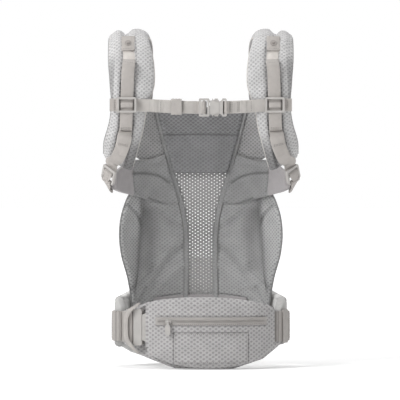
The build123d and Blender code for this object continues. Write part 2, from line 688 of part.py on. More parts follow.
# ---------------------------------------------------------------- chest strap
def chest_web(left, right, left_z, right_z):
    """Flat webbing across the wearer's back, between two places and heights."""
    with BuildPart() as ribbon:
        with BuildSketch(Plane.XZ.offset(-CHEST_WEB_Y)):
            with BuildLine():
                Polyline(
                    (left, left_z - WEB / 2),
                    (right, right_z - WEB / 2),
                    (right, right_z + WEB / 2),
                    (left, left_z + WEB / 2),
                    close=True,
                )
            make_face()
        extrude(amount=WEB_T)
    return ribbon


CHEST_MID_Z = CHEST_Z - 4
CHEST_MOUTH_X = 14.0
pieces["chest_webbing_left"] = chest_web(-139, -1, CHEST_Z, CHEST_MID_Z)
pieces["chest_webbing_right"] = chest_web(34, 139, CHEST_MID_Z, CHEST_Z)

SLIDE_W, SLIDE_H = 30.0, 24.0
SLIDE_FRONT, SLIDE_BACK = -RAIL_Y + WEB_T + GAP, -RAIL_Y - GAP
with BuildPart() as chest_slider_left:
    with BuildSketch(Plane.XZ.offset(-CHEST_WEB_Y + WEB_T + GAP)):
        with Locations((-RAIL_X, CHEST_Z)):
            RectangleRounded(SLIDE_W, SLIDE_H, 2.5)
            Rectangle(WEB + 3.8, SLIDE_H - 6.5, mode=Mode.SUBTRACT)
    extrude(amount=SLIDE_FRONT + 3.4 + CHEST_WEB_Y - WEB_T - GAP)
    with BuildSketch(Plane.XZ.offset(-CHEST_WEB_Y - 1)):
        with Locations((-RAIL_X, CHEST_Z)):
            Rectangle(WEB + 3.8, SLIDE_H + 2)
    extrude(amount=SLIDE_FRONT + CHEST_WEB_Y + 1, mode=Mode.SUBTRACT)
    with BuildSketch(Plane.XZ.offset(-CHEST_WEB_Y + WEB_T + GAP)):
        with Locations((-RAIL_X, CHEST_Z)):
            Rectangle(SLIDE_W - 1, 5.5)
    extrude(amount=SLIDE_BACK + CHEST_WEB_Y - WEB_T - GAP)
pieces["chest_slider_left"] = chest_slider_left

CHEST_BUCKLE = dict(width=28.0, thick=6.5, ladder=17.0, socket=26.0, arm=15.0, web=WEB, waisted=True)
chest_plane = Plane(
    origin=(CHEST_MOUTH_X, CHEST_WEB_Y - WEB_T - GAP, CHEST_MID_Z), x_dir=(-1, 0, 0), z_dir=(0, -1, 0)
)
(
    pieces["chest_buckle_socket"],
    pieces["chest_buckle_plug"],
    pieces["chest_prong_lower"],
    pieces["chest_prong_upper"],
) = side_release_buckle(chest_plane, **CHEST_BUCKLE)

# Elastic keeper that holds the chest strap's folded tail.
KEEPER_X, KEEPER_W = -42.0, 26.0
keeper_z = CHEST_MID_Z + 1.2
with BuildPart() as chest_keeper:
    with BuildSketch(Plane.YZ.offset(KEEPER_X - KEEPER_W / 2)):
        with Locations((CHEST_WEB_Y - WEB_T / 2, keeper_z)):
            Rectangle(7.4, WEB + 7)
            Rectangle(5.0, WEB + 4.6, mode=Mode.SUBTRACT)
    extrude(amount=KEEPER_W)
pieces["chest_keeper"] = chest_keeper

# ---------------------------------------------------------------- the right-hand twins, and the files
for name in (
    "seat_panel",
    "thigh_pad",
    "trim_band",
    "side_wing",
    "strap_root",
    "shoulder_strap",
    "shoulder_foam",
    "rail_webbing",
    "adjuster",
    "wing_tab",
    "strap_webbing",
    "chest_slider",
):
    pieces[name + "_right"] = mirrored(pieces[name + "_left"])

write(pieces)
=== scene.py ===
import math
import bmesh
import bpy
import numpy as np
from mathutils import Matrix, Vector


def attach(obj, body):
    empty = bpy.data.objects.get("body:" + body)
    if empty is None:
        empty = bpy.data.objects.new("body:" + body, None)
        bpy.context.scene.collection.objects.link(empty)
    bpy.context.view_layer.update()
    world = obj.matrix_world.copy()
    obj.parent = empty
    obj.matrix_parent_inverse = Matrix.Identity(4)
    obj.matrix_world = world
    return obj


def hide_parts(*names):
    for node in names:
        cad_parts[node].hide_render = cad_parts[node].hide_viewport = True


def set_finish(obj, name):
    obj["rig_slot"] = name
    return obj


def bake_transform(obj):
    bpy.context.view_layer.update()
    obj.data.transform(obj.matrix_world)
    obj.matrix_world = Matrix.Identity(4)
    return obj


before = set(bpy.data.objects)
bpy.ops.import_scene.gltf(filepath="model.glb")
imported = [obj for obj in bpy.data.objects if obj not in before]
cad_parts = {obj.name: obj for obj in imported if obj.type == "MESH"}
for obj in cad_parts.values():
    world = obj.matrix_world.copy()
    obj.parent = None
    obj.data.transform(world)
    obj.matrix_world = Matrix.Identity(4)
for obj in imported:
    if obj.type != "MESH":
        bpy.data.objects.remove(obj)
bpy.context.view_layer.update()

# Lengths are in millimetres until a mesh is made. A name ending in _l is on the left half, which has x below 0;
# most of these pieces are then mirrored.
MM = 0.001
FAR_Y, NEAR_Y = -41.3, 58.7
FAR_R, NEAR_R, CORNER_R, SIDE_X = 150.5, 146.0, 45.0, 128.0
UP = (0, 0, 1)
MIRROR = Matrix.Scale(-1, 4, Vector((1, 0, 0)))

BAND_OUTER = [(-29, 62), (-27.5, 168), (-28.5, 215), (-36.5, 256), (-47.5, 292), (-58.5, 339), (-74, 402)]
BAND_INNER = [(-22, 62), (-19, 160), (-19, 200), (-26.5, 253), (-38.5, 292), (-52.5, 339), (-67, 402)]
EDGE = [(-107, 62), (-108.5, 100), (-114, 136), (-124, 176), (-126.7, 205), (-122, 243), (-110, 272),
        (-104, 280)]
CREASE = [(-105.5, 62), (-105, 100), (-99, 150), (-95.5, 207), (-92, 255), (-86, 280)]


# ---- number helpers
def smooth(x, low, high):
    t = np.clip((np.asarray(x, float) - low) / (high - low), 0, 1)
    return t * t * (3 - 2 * t)


def run_along(points):
    """Distance along a line of points, from its start to each of them."""
    return np.concatenate([[0], np.cumsum(np.linalg.norm(np.diff(points, axis=0), axis=1))])


def curve(points, n, at=None):
    """n points on a smooth line through the given ones, or the points at given shares of its length."""
    p = np.array(points, float)
    if len(p) == 2:
        share = np.linspace(0, 1, n) if at is None else np.asarray(at)
        return p[0] + (p[1] - p[0]) * share[:, None]
    t = run_along(p)
    tangent = np.gradient(p, t, axis=0)
    u = (np.linspace(0, 1, n) if at is None else np.asarray(at)) * t[-1]
    i = np.clip(np.searchsorted(t, u, side="right") - 1, 0, len(t) - 2)
    h = (t[i + 1] - t[i])[:, None]
    s = (u - t[i])[:, None] / h
    return (
        (2 * s**3 - 3 * s**2 + 1) * p[i]
        + (s**3 - 2 * s**2 + s) * h * tangent[i]
        + (3 * s**2 - 2 * s**3) * p[i + 1]
        + (s**3 - s**2) * h * tangent[i + 1]
    )


def round_angles(n):
    return np.linspace(0, 2 * math.pi, n, endpoint=False)


def height_at(x, rows):
    return np.interp(x, *np.array(rows, float).T)


def unit(v):
    return v / np.maximum(np.linalg.norm(v, axis=-1, keepdims=True), 1e-9)


def square_to(along, across):
    """The given directions, turned to be square to others."""
    return unit(across - along * (across * along).sum(1, keepdims=True))


def line_distance(x, z, points):
    """Distance in the front view from each grid point to a line."""
    best = np.full(x.shape, 1e9)
    for (ax, az), (bx, bz) in zip(points[:-1], points[1:]):
        dx, dz = bx - ax, bz - az
        t = np.clip(((x - ax) * dx + (z - az) * dz) / (dx * dx + dz * dz), 0, 1)
        best = np.minimum(best, np.hypot(x - ax - t * dx, z - az - t * dz))
    return best


def valleys(x, z, lines):
    """How deep the folds and seams are at each point, and how much painted shade they put on it."""
    depth, dark = np.zeros(x.shape), np.zeros(x.shape)
    for points, deep, width, shade in lines:
        way = curve(points, 14)
        near = np.exp(-((line_distance(x, z, way) / width) ** 2))
        depth += deep * near
        dark = np.maximum(dark, shade * near)
    return depth, dark


# ---- mesh helpers
def make(name, verts, faces, material, uv=None, shade=None, body="carrier", slot=None, stands_for=(),
         second=None):
    mesh = bpy.data.meshes.new(name)
    mesh.from_pydata((np.asarray(verts, float) * MM).tolist(), [], [tuple(int(i) for i in f) for f in faces])
    if uv is not None:
        layer = mesh.uv_layers.new(name="cloth")
        index = np.zeros(len(mesh.loops), np.int32)
        mesh.loops.foreach_get("vertex_index", index)
        layer.data.foreach_set("uv", np.asarray(uv, np.float32)[index].ravel())
    # The shade attribute holds painted shade; the cloth and webbing materials darken their colour by it.
    if shade is not None:
        mesh.attributes.new("shade", "FLOAT", "POINT").data.foreach_set("value", np.asarray(shade, np.float32))
    mesh.materials.append(material)
    if second is not None:
        other, marks = second
        mesh.materials.append(other)
        mesh.polygons.foreach_set("material_index", np.asarray(marks, np.int32))
    built = bmesh.new()
    built.from_mesh(mesh)
    bmesh.ops.recalc_face_normals(built, faces=built.faces)
    built.to_mesh(mesh)
    built.free()
    mesh.polygons.foreach_set("use_smooth", np.ones(len(mesh.polygons), bool))
    obj = bpy.data.objects.new(name, mesh)
    bpy.context.scene.collection.objects.link(obj)
    if body:
        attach(obj, body)
    if slot:
        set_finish(obj, slot)
    if stands_for:
        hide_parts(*stands_for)
    return obj


def grid_faces(n, m, start=0, flip=False):
    i, j = np.meshgrid(np.arange(n - 1), np.arange(m - 1), indexing="ij")
    a = start + i * m + j
    quads = np.stack([a, a + m, a + m + 1, a + 1], -1).reshape(-1, 4)
    return quads[:, ::-1] if flip else quads


def shell(name, middle, normal, thick, uv, material, shade=None, **how):
    """A closed sheet or pad: two faces either side of a middle surface, joined round the rim."""
    n, m = middle.shape[:2]
    half = normal * thick[..., None] / 2
    verts = np.concatenate([(middle + half).reshape(-1, 3), (middle - half).reshape(-1, 3)])
    size = n * m
    faces = [grid_faces(n, m), grid_faces(n, m, size, True)]
    side, end = np.arange(1, n) * m + m - 1, (n - 1) * m + np.arange(m - 2, -1, -1)
    rim = np.concatenate([np.arange(m), side, end, np.arange(n - 2, 0, -1) * m])
    after = np.roll(rim, -1)
    faces.append(np.stack([rim, after, after + size, rim + size], -1))
    uvs = np.concatenate([uv.reshape(-1, 2)] * 2)
    tone = None if shade is None else np.concatenate([shade.ravel()] * 2)
    return make(name, verts, np.concatenate(faces), material, uvs, tone, **how)


def tube_faces(rings, around):
    faces = []
    k = np.arange(around)
    for i in range(rings - 1):
        a, b = i * around + k, i * around + (k + 1) % around
        faces.append(np.stack([a, b, b + around, a + around], -1))
    return np.concatenate(faces)


def sweep(name, centre, across, out, section, material, uv_scale=1.0, shade=None, marks=None, slot="webbing",
          **how):
    """A closed bar: section(i) gives (w, h) round ring i, w along across and h along out."""
    rings = [section(i) for i in range(len(centre))]
    around = len(rings[0])
    verts = np.concatenate(
        [centre[i] + rings[i][:, :1] * across[i] + rings[i][:, 1:] * out[i] for i in range(len(centre))]
    )
    run = run_along(centre)
    uv = np.concatenate(
        [np.stack([rings[i][:, 0] * uv_scale, np.full(around, run[i])], -1) for i in range(len(centre))]
    )
    last = len(verts)
    verts = np.concatenate([verts, centre[:1], centre[-1:]])
    uv = np.concatenate([uv, [[0, 0]], [[0, run[-1]]]])
    tone = None
    if shade is not None:
        tone = np.concatenate([shade(i) for i in range(len(centre))] + [[0, 0]])
    k = np.arange(around)
    tail = (len(centre) - 1) * around
    caps = [(last, int((j + 1) % around), int(j)) for j in k]
    caps += [(last + 1, int(tail + j), int(tail + (j + 1) % around)) for j in k]
    quads = tube_faces(len(centre), around)
    faces = [tuple(f) for f in quads] + caps
    if marks is not None:
        other, test = marks
        flags = [int(test(j)) for i in range(len(centre) - 1) for j in k] + [0] * len(caps)
        how["second"] = (other, flags)
    return make(name, verts, faces, material, uv, tone, slot=slot, **how)


def strap_section(width, thick):
    """Round-edged section of webbing, w from edge to edge."""
    edge = min(thick / 2, 0.8)
    top = [(-width / 2 + edge * 0.35, thick * 0.28), (-width / 2 + edge * 1.2, thick / 2), (0, thick / 2)]
    top += [(width / 2 - edge * 1.2, thick / 2), (width / 2 - edge * 0.35, thick * 0.28)]
    low = [(w, -h) for w, h in reversed(top)]
    return np.array(top + [(width / 2, 0)] + low + [(-width / 2, 0)])


def ribbon(name, points, across, width, thick, material, n=40, taper=None, dim=None, **how):
    """A length of webbing along a smooth line; across is one direction, or one for each given point."""
    centre = curve(points, n)
    across = np.array(across, float)
    if across.ndim == 1:
        sideways = np.tile(across, (n, 1))
    else:
        given = np.array(points, float)
        run = run_along(given)
        at = np.linspace(0, run[-1], n)
        sideways = np.stack([np.interp(at, run, across[:, k]) for k in range(3)], -1)
    along = unit(np.gradient(centre, axis=0))
    sideways = square_to(along, sideways)
    out = np.cross(sideways, along)
    section = strap_section(width, thick)
    shares = np.ones(n) if taper is None else np.array([taper(t) for t in np.linspace(0, 1, n)])
    if dim is not None:
        how["shade"] = lambda i: np.full(len(section), dim(centre[i]))
    return sweep(name, centre, sideways, out, lambda i: section * [shares[i], 1.0], material, **how)


def tube(name, points, radius, material, n=60, around=8, **how):
    centre = curve(points, n)
    along = unit(np.gradient(centre, axis=0))
    guide = np.array([0.13, 0.31, 0.94])
    sideways = unit(np.cross(along, guide))
    out = np.cross(sideways, along)
    turn = round_angles(around)
    ring = np.stack([np.cos(turn), np.sin(turn)], -1) * radius
    return sweep(name, centre, sideways, out, lambda i: ring, material, **how)


def stitches(name, runs, pitch=3.4, length=2.3, radius=0.35, body="carrier", slot="webbing"):
    """Thread dashes along several lines; each run is (points, outward directions)."""
    verts, faces, uv = [], [], []
    for points, outs in runs:
        points = np.asarray(points, float)
        far = run_along(points)
        for s in np.arange(pitch * 0.5, far[-1] - pitch * 0.3, pitch):
            here = np.array([np.interp(s, far, points[:, k]) for k in range(3)])
            ahead = np.array([np.interp(min(s + 0.5, far[-1]), far, points[:, k]) for k in range(3)])
            out = np.array([np.interp(s, far, np.asarray(outs)[:, k]) for k in range(3)])
            along = unit(ahead - here)
            side = unit(np.cross(along, out))
            base = len(verts)
            for share, scale in ((-0.5, 0.35), (-0.25, 1.0), (0.25, 1.0), (0.5, 0.35)):
                for a in range(6):
                    turn = a * math.pi / 3
                    ring = side * math.cos(turn) * 1.3 + out * math.sin(turn)
                    sag = -radius * 0.9 if scale < 1 else 0
                    verts.append(here + along * share * length + ring * radius * scale + out * sag)
                    uv.append((a, s))
            for low in (base, base + 6, base + 12):
                for a in range(6):
                    b = (a + 1) % 6
                    faces.append((low + a, low + b, low + 6 + b, low + 6 + a))
            faces.append(tuple(base + a for a in range(5, -1, -1)))
            faces.append(tuple(base + 18 + a for a in range(6)))
    return make(name, verts, faces, M_THREAD, uv, body=body, slot=slot)


def mirrored(obj, body="carrier", stands_for=()):
    """The same piece on the other side; its name ends in r instead of l."""
    name = obj.name[:-1] + "r"
    mesh = obj.data.copy()
    mesh.name = name
    mesh.transform(MIRROR)
    mesh.flip_normals()
    twin = bpy.data.objects.new(name, mesh)
    bpy.context.scene.collection.objects.link(twin)
    if body:
        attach(twin, body)
    if "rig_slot" in obj:
        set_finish(twin, obj["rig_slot"])
    if stands_for:
        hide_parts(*stands_for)
    return twin


# ---- materials
class Nodes:
    """Chains of shader nodes for one material."""

    def __init__(self, name):
        self.material = bpy.data.materials.new(name)
        self.material.use_nodes = True
        self.tree = self.material.node_tree
        self.shader = next(n for n in self.tree.nodes if n.type == "BSDF_PRINCIPLED")

    def put(self, socket, value):
        if isinstance(value, bpy.types.NodeSocket):
            self.tree.links.new(value, socket)
        else:
            socket.default_value = value

    def math(self, kind, a, b=0.0, c=0.0):
        node = self.tree.nodes.new("ShaderNodeMath")
        node.operation = kind
        for socket, value in zip(node.inputs, (a, b, c)):
            self.put(socket, value)
        return node.outputs[0]

    def ramp(self, value, low, high, out_low=0.0, out_high=1.0):
        node = self.tree.nodes.new("ShaderNodeMapRange")
        node.interpolation_type = "SMOOTHSTEP"
        for i, v in enumerate((value, low, high, out_low, out_high)):
            self.put(node.inputs[i], v)
        return node.outputs[0]

    def noise(self, where, scale, detail=2.0):
        node = self.tree.nodes.new("ShaderNodeTexNoise")
        self.put(node.inputs["Vector"], where)
        node.inputs["Scale"].default_value = scale
        node.inputs["Detail"].default_value = detail
        return node.outputs["Fac"]

    def scaled(self, color, share):
        node = self.tree.nodes.new("ShaderNodeVectorMath")
        node.operation = "SCALE"
        self.put(node.inputs[0], color)
        self.put(node.inputs["Scale"], share)
        return node.outputs[0]

    def times(self, a, b):
        return self.math("MULTIPLY", a, b)

    def mix(self, share, a, b):
        node = self.tree.nodes.new("ShaderNodeMix")
        node.data_type = "RGBA"
        self.put(node.inputs[0], share)
        self.put(node.inputs[6], a)
        self.put(node.inputs[7], b)
        return node.outputs[2]

    def cloth_place(self):
        uv = self.tree.nodes.new("ShaderNodeUVMap")
        uv.uv_map = "cloth"
        split = self.tree.nodes.new("ShaderNodeSeparateXYZ")
        self.tree.links.new(uv.outputs[0], split.inputs[0])
        return uv.outputs[0], split.outputs[0], split.outputs[1]

    def object_place(self):
        return self.tree.nodes.new("ShaderNodeTexCoord").outputs["Object"]

    def shade(self):
        node = self.tree.nodes.new("ShaderNodeAttribute")
        node.attribute_name = "shade"
        return node.outputs["Fac"]

    def bump(self, height, distance, strength=1.0):
        node = self.tree.nodes.new("ShaderNodeBump")
        node.inputs["Distance"].default_value = distance * MM
        node.inputs["Strength"].default_value = strength
        self.put(node.inputs["Height"], height)
        self.tree.links.new(node.outputs[0], self.shader.inputs["Normal"])

    def finish(self, color, rough, sheen=0.0, specular=0.3, through=0.0):
        if through:
            light = self.tree.nodes.new("ShaderNodeBsdfTranslucent")
            self.put(light.inputs["Color"], color)
            both_sides = self.tree.nodes.new("ShaderNodeMixShader")
            both_sides.inputs[0].default_value = through
            self.tree.links.new(self.shader.outputs[0], both_sides.inputs[1])
            self.tree.links.new(light.outputs[0], both_sides.inputs[2])
            output = next(n for n in self.tree.nodes if n.type == "OUTPUT_MATERIAL")
            self.tree.links.new(both_sides.outputs[0], output.inputs["Surface"])
        self.put(self.shader.inputs["Base Color"], color)
        self.put(self.shader.inputs["Roughness"], rough)
        self.shader.inputs["Sheen Weight"].default_value = sheen
        self.shader.inputs["Specular IOR Level"].default_value = specular
        return self.material


def tone(r, g=None, b=None):
    """Colour of an sRGB tone; one number is a grey."""
    g, b = (r, r) if g is None else (g, b)
    return tuple([((c / 255 + 0.055) / 1.055) ** 2.4 for c in (r, g, b)] + [1.0])


def darker(color, share):
    return tuple([c * share for c in color[:3]] + [1.0])


def mesh_cloth(name, color, hole_share=0.45, pitch=(8.8, 6.8), hole=(2.1, 1.35), depth=0.7):
    """Spacer mesh: staggered rows of oval dimples over a fine knit."""
    n = Nodes(name)
    where, u, v = n.cloth_place()
    spots = []
    for shift in (0.0, 0.5):
        a = n.math("DIVIDE", u, pitch[0])
        b = n.math("DIVIDE", v, pitch[1])
        a = n.math("SUBTRACT", n.math("FRACT", n.math("ADD", a, 100.0 + shift)), 0.5)
        b = n.math("SUBTRACT", n.math("FRACT", n.math("ADD", b, 100.0 + shift)), 0.5)
        a = n.times(a, pitch[0] / hole[0])
        b = n.times(b, pitch[1] / hole[1])
        spots.append(n.math("SQRT", n.math("ADD", n.times(a, a), n.times(b, b))))
    near = n.math("MINIMUM", *spots)
    dimple = n.ramp(near, 1.25, 0.7)
    knit = n.times(n.math("SINE", n.times(u, 5.3)), n.math("SINE", n.times(v, 6.1)))
    blotch = n.ramp(n.noise(where, 0.045, 3.0), 0.3, 0.7, 0.94, 1.05)
    # Darker in the dimples: partly the mesh's own darker holes and partly painted shade in the recesses.
    base = n.mix(dimple, color, darker(color, hole_share))
    # Painted shade: the colour is darkened by the shade attribute.
    painted_shade = n.ramp(n.shade(), 0.0, 1.0, 1.0, 0.35)
    weave = n.ramp(knit, -1.0, 1.0, 0.95, 1.03)
    n.bump(n.math("ADD", n.times(dimple, -1.0), n.times(knit, 0.14)), depth)
    cloth = n.scaled(base, n.times(n.times(blotch, painted_shade), weave))
    return n.finish(cloth, n.ramp(knit, -1, 1, 0.95, 0.85), sheen=0.25, specular=0.2)


def woven(name, color, rib=1.5, depth=0.25, through=0.0):
    """Woven cloth or webbing with fine ribs across it; a thin one lets some light through."""
    n = Nodes(name)
    where, u, v = n.cloth_place()
    ribs = n.math("SINE", n.times(v, 2 * math.pi / rib))
    warp = n.math("SINE", n.math("ADD", n.times(u, 2 * math.pi / 1.3), n.times(v, math.pi / rib)))
    weave = n.times(n.math("ADD", ribs, warp), 0.5)
    blotch = n.ramp(n.noise(where, 0.12, 4.0), 0.25, 0.75, 0.95, 1.04)
    # Painted shade: the colour is darkened by the shade attribute.
    painted_shade = n.ramp(n.shade(), 0.0, 1.0, 1.0, 0.4)
    share = n.times(n.times(blotch, painted_shade), n.ramp(weave, -1, 1, 0.93, 1.04))
    n.bump(weave, depth)
    return n.finish(n.scaled(color[:3], share), n.ramp(weave, -1, 1, 0.85, 0.7), 0.12, 0.3, through)


def moulded(name, color, rough=0.42):
    """Moulded plastic or coated metal with a fine grain and worn, paler high spots."""
    n = Nodes(name)
    where = n.object_place()
    grain = n.noise(where, 1800.0, 2.0)
    cloud = n.noise(where, 60.0, 3.0)
    share = n.times(n.ramp(cloud, 0.3, 0.7, 0.95, 1.05), n.ramp(grain, 0.2, 0.8, 0.97, 1.03))
    n.bump(grain, 0.06)
    dull = n.ramp(cloud, 0.2, 0.8, rough - 0.06, rough + 0.08)
    return n.finish(n.scaled(color[:3], share), dull, specular=0.45)


M_NEAR = mesh_cloth("near_mesh", tone(192, 191, 191), 0.72, (8.5, 6.0), (1.9, 1.3))
M_POUCH = mesh_cloth("pouch_mesh", tone(176, 174, 174), 0.68, (9.5, 6.6), (2.1, 1.6))
M_PANEL = mesh_cloth("panel_mesh", tone(173), 0.74, (8.5, 5.8), (1.8, 1.25), 0.5)
# A darker copy of the panel mesh: painted shade for the side wings.
M_WING = mesh_cloth("wing_mesh", tone(149), 0.78, (8.5, 5.8), (1.7, 1.2), 0.5)
M_THIGH = mesh_cloth("thigh_mesh", tone(175), 0.64, (8.5, 5.9), (1.9, 1.35), 0.6)
M_TRIM = mesh_cloth("trim_mesh", tone(157), 0.84, (8.5, 5.8), (1.4, 1.1), 0.3)
M_BASE = woven("base_cloth", tone(250, 249, 248), 0.9, 0.1, 0.8)
M_FACING = woven("facing_cloth", tone(166, 162, 163), 0.9, 0.12)
M_DARK = mesh_cloth("dark_mesh", tone(131, 131, 132), 0.76, (8.6, 6.1), (1.9, 1.4), 0.6)
M_HEAD = mesh_cloth("head_mesh", tone(138, 138, 139), 0.66, (8.2, 6.0), (2.3, 1.6), 0.6)
M_ROOT = mesh_cloth("root_mesh", tone(164, 163, 163), 0.66, (8.2, 5.9), (2.0, 1.4), 0.6)
M_SIDE = mesh_cloth("side_mesh", tone(150, 149, 149), 0.7, (5.0, 4.4), (1.3, 1.0), 0.5)
M_NET = woven("net_yarn", tone(168, 167, 167), 1.1, 0.2)
M_BAND = woven("binding_tape", tone(132), 0.9, 0.12)
M_BELT = woven("belt_cloth", tone(226, 225, 223), 0.8, 0.1)
M_WEB = woven("webbing_weave", tone(173, 168, 164))
# A lighter copy of the webbing weave: painted light for the light falling on the chest strap.
M_CHEST = woven("chest_webbing_weave", tone(181, 177, 173))
M_PALE_WEB = woven("pale_webbing_weave", tone(206, 201, 196))
M_ELASTIC = woven("elastic_weave", tone(186, 181, 177), 0.8, 0.3)
M_ZIP = woven("zip_tape_weave", tone(164, 160, 157), 0.7, 0.12)
M_THREAD = moulded("thread", tone(128, 125, 122), 0.7)
M_PLASTIC = moulded("buckle_plastic", tone(168, 165, 162))
M_METAL = moulded("zip_enamel", tone(168, 165, 162), 0.34)
M_SNAP = moulded("snap_plastic", tone(138, 133, 129), 0.36)


# ---- surfaces of the carrier
def arc_place(x, z, radius, middle_y, way):
    """Points on an upright curved surface, with their outward normals."""
    reach = way * np.sqrt(np.maximum(radius**2 - x**2, 1.0))
    return np.stack([x, middle_y + reach, z], -1), unit(np.stack([x, reach, np.zeros_like(x)], -1))


def far_place(x, z, radius):
    return arc_place(x, z, radius, FAR_Y, 1)


def near_place(x, z, radius):
    return arc_place(x, z, radius, NEAR_Y, -1)


def patch(name, side_a, side_b, radius, thick, material, n=60, m=140, round_r=3.0, edge_t=0.8, lines=(),
          seams=(), dim=None, bow=None, zone=None, place=far_place, slot="mesh_fabric", **how):
    """A panel between two front-view lines, laid on a curved surface, with folds, seams and round edges."""
    share_u = 0.5 - 0.5 * np.cos(np.linspace(0, math.pi, n))
    share_u = 0.6 * share_u + 0.4 * np.linspace(0, 1, n)
    share_v = np.linspace(0, 1, m)
    a, b = curve(side_a, m, share_v), curve(side_b, m, share_v)
    u, v = np.meshgrid(share_u, share_v, indexing="ij")
    x = a[None, :, 0] * (1 - u) + b[None, :, 0] * u
    z = a[None, :, 1] * (1 - u) + b[None, :, 1] * u
    if bow is not None:
        x, z = bow(x, z, u, v)
    wide = np.linalg.norm(a - b, axis=1)[None, :]
    tall = np.linalg.norm(np.diff(a, axis=0), axis=1).sum()
    inset = np.minimum(np.minimum(u, 1 - u) * wide, np.minimum(v, 1 - v) * tall)
    t = np.clip(inset / round_r, 0, 1)
    full = thick(x, z) if callable(thick) else np.full(x.shape, float(thick))
    r = radius(x, z) if callable(radius) else np.full(x.shape, float(radius))
    fold, dark = valleys(x, z, lines)
    cut, dark_seam = valleys(x, z, seams)
    sign = 1.0 if place is far_place else -1.0
    r = r + sign * fold
    full = np.maximum(full - 2 * cut, edge_t)
    body_t = edge_t + (full - edge_t) * np.sqrt(1 - (1 - t) ** 2)
    middle, normal = place(x, z, r)
    uv = np.stack([r.mean() * np.arcsin(np.clip(x / r, -1, 1)), z], -1)
    if zone is not None:
        upper = zone[1](x, z)[:-1, :-1].ravel()
        how["second"] = (zone[0], np.concatenate([upper, upper, np.zeros(2 * (n + m) - 4, bool)]))
    # Painted shade: darker in the folds and seams, plus the shade given by dim.
    shade = np.maximum(dark, dark_seam)
    if dim is not None:
        shade = np.minimum(shade + dim(x, z), 1)
    return shell(name, middle, normal, body_t, uv, material, shade, slot=slot, **how)


def both(obj, *cad):
    """Gives the left piece its CAD nodes and makes its right-hand twin."""
    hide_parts(*[node + "_left" for node in cad])
    return mirrored(obj, stands_for=[node + "_right" for node in cad])


# Seat panels, with the slit and fold above the belt and soft drape; the last number of each fold and seam is
# its painted shade.
SEAT_FOLDS = [
    ([(-74, 132), (-55, 160), (-30, 184)], 3.2, 6.0, 0.14),
    ([(-64, 122), (-48, 140), (-29, 156)], -2.6, 6.0, 0.0),
    ([(-84, 126), (-68, 158), (-44, 186)], -2.6, 7.0, 0.0),
    ([(-82, 240), (-80, 205), (-83, 150)], 3.2, 13.0, 0.3),
    ([(-72, 246), (-52, 226), (-33, 216)], 1.8, 6.0, 0.1),
    ([(-56, 242), (-46, 232), (-34, 228)], -1.4, 5.0, 0.0),
    ([(-98, 128), (-88, 140), (-80, 158)], 1.8, 4.0, 0.2),
    ([(-101, 96), (-94, 112), (-88, 122)], 2.0, 2.6, 0.25),
    ([(-96, 88), (-84, 104), (-72, 112)], -1.8, 3.6, 0.0),
    ([(-88, 90), (-76, 99), (-62, 100)], 1.6, 2.6, 0.15),
]
SEAT_SEAMS = [
    ([(-73, 104), (-52, 108.4), (-32, 110.8)], 1.2, 1.5, 0.62),
]


def crease_at(z):
    """How far from the middle the crease beside the thigh pad is."""
    return height_at(z, [(z, x) for x, z in CREASE])


# Painted shade on the seat panels: darker towards the top, and beside the crease next to the thigh pad.
def seat_dim(x, z):
    beside = np.exp(-(((x - crease_at(z)) / 9.0) ** 2)) * smooth(z, 110, 150)
    edge = np.exp(-(((x - crease_at(z)) / 3.0) ** 2))
    return 0.25 * smooth(z, 130, 235) + 0.22 * beside + 0.12 * edge


seat_l = patch(
    "seat_panel_l", [(x - 2.5, z) for x, z in CREASE[:-1]] + [(-83, 297)],
    [(-24.5, 62), (-23, 168), (-23.5, 215), (-31, 256), (-42, 297)],
    lambda x, z: 139.6 - 1.5 * np.exp(-(((x + 62) / 26) ** 2)) * smooth(z, 70, 140), 3.0, M_PANEL,
    90, 200, 2.0, 0.8, SEAT_FOLDS, SEAT_SEAMS, seat_dim,
)
seat_r = both(seat_l, "seat_panel")

# Hem of the panels just above the belt.
hem = patch(
    "seat_hem", [(-75, 92), (-75, 105)], [(73, 92), (73, 105)], 137.3, 2.0, M_FACING, 80, 20, 1.2, 0.6,
    bow=lambda x, z, u, v: (x, z + 4.2 * np.sin(math.pi * u)),
)

# Thigh pads, thick along the leg opening.
def thigh_radius(x, z):
    return 138.0 + 3.8 * smooth(z, 240, 266)


# Painted shade in the thigh pads' folds and beside the crease next to the seat panel.
thigh_l = patch(
    "thigh_pad_l", EDGE, CREASE, thigh_radius,
    lambda x, z: 10.5 - 7.5 * smooth(z, 240, 270) - 4.0 * smooth(-z, -100, -66),
    M_THIGH, 40, 150, 5.5, 1.0,
    [([(-116, 250), (-104, 236), (-97, 222)], 2.4, 3.0, 0.45),
     ([(-96, 152), (-102, 134), (-107, 122)], 2.4, 3.0, 0.4),
     ([(-108, 118), (-104, 104), (-106, 90)], 1.8, 2.4, 0.2)],
    dim=lambda x, z: 0.8 * np.exp(-(((x - crease_at(z)) / 8.0) ** 2)) * smooth(z, 95, 140),
)
thigh_r = both(thigh_l, "thigh_pad")

# Piping between the seat panel and the thigh pad.
crease_line = curve(CREASE[:-1], 60)
pipe_points, _ = far_place(crease_line[:, 0], crease_line[:, 1], 137.4)
pipe_l = tube("thigh_seam_l", pipe_points, 0.9, M_SIDE, 90, slot="mesh_fabric")
mirrored(pipe_l)
edge_line = curve(EDGE, 80)
edge_r = thigh_radius(edge_line[:, 0], edge_line[:, 1])
edge_points, _ = far_place(edge_line[:, 0] - 0.2, edge_line[:, 1], edge_r)
edge_l = tube("leg_binding_l", edge_points, 1.1, M_BAND, 120, slot="mesh_fabric")
mirrored(edge_l)

# Trim bands, with painted shade along their seams and over their middle heights.
band_l = patch(
    "trim_band_l", BAND_OUTER, BAND_INNER, 137.1, 2.2, M_TRIM, 20, 220, 1.6, 0.5,
    seams=[([(x + 0.6, z) for x, z in BAND_OUTER], 0.0, 0.9, 0.3),
           ([(x - 0.6, z) for x, z in BAND_INNER], 0.0, 0.8, 0.25)],
    dim=lambda x, z: 0.3 * smooth(z, 150, 215) * (1 - smooth(z, 290, 340)),
    slot="dark_mesh",
)
both(band_l, "trim_band")
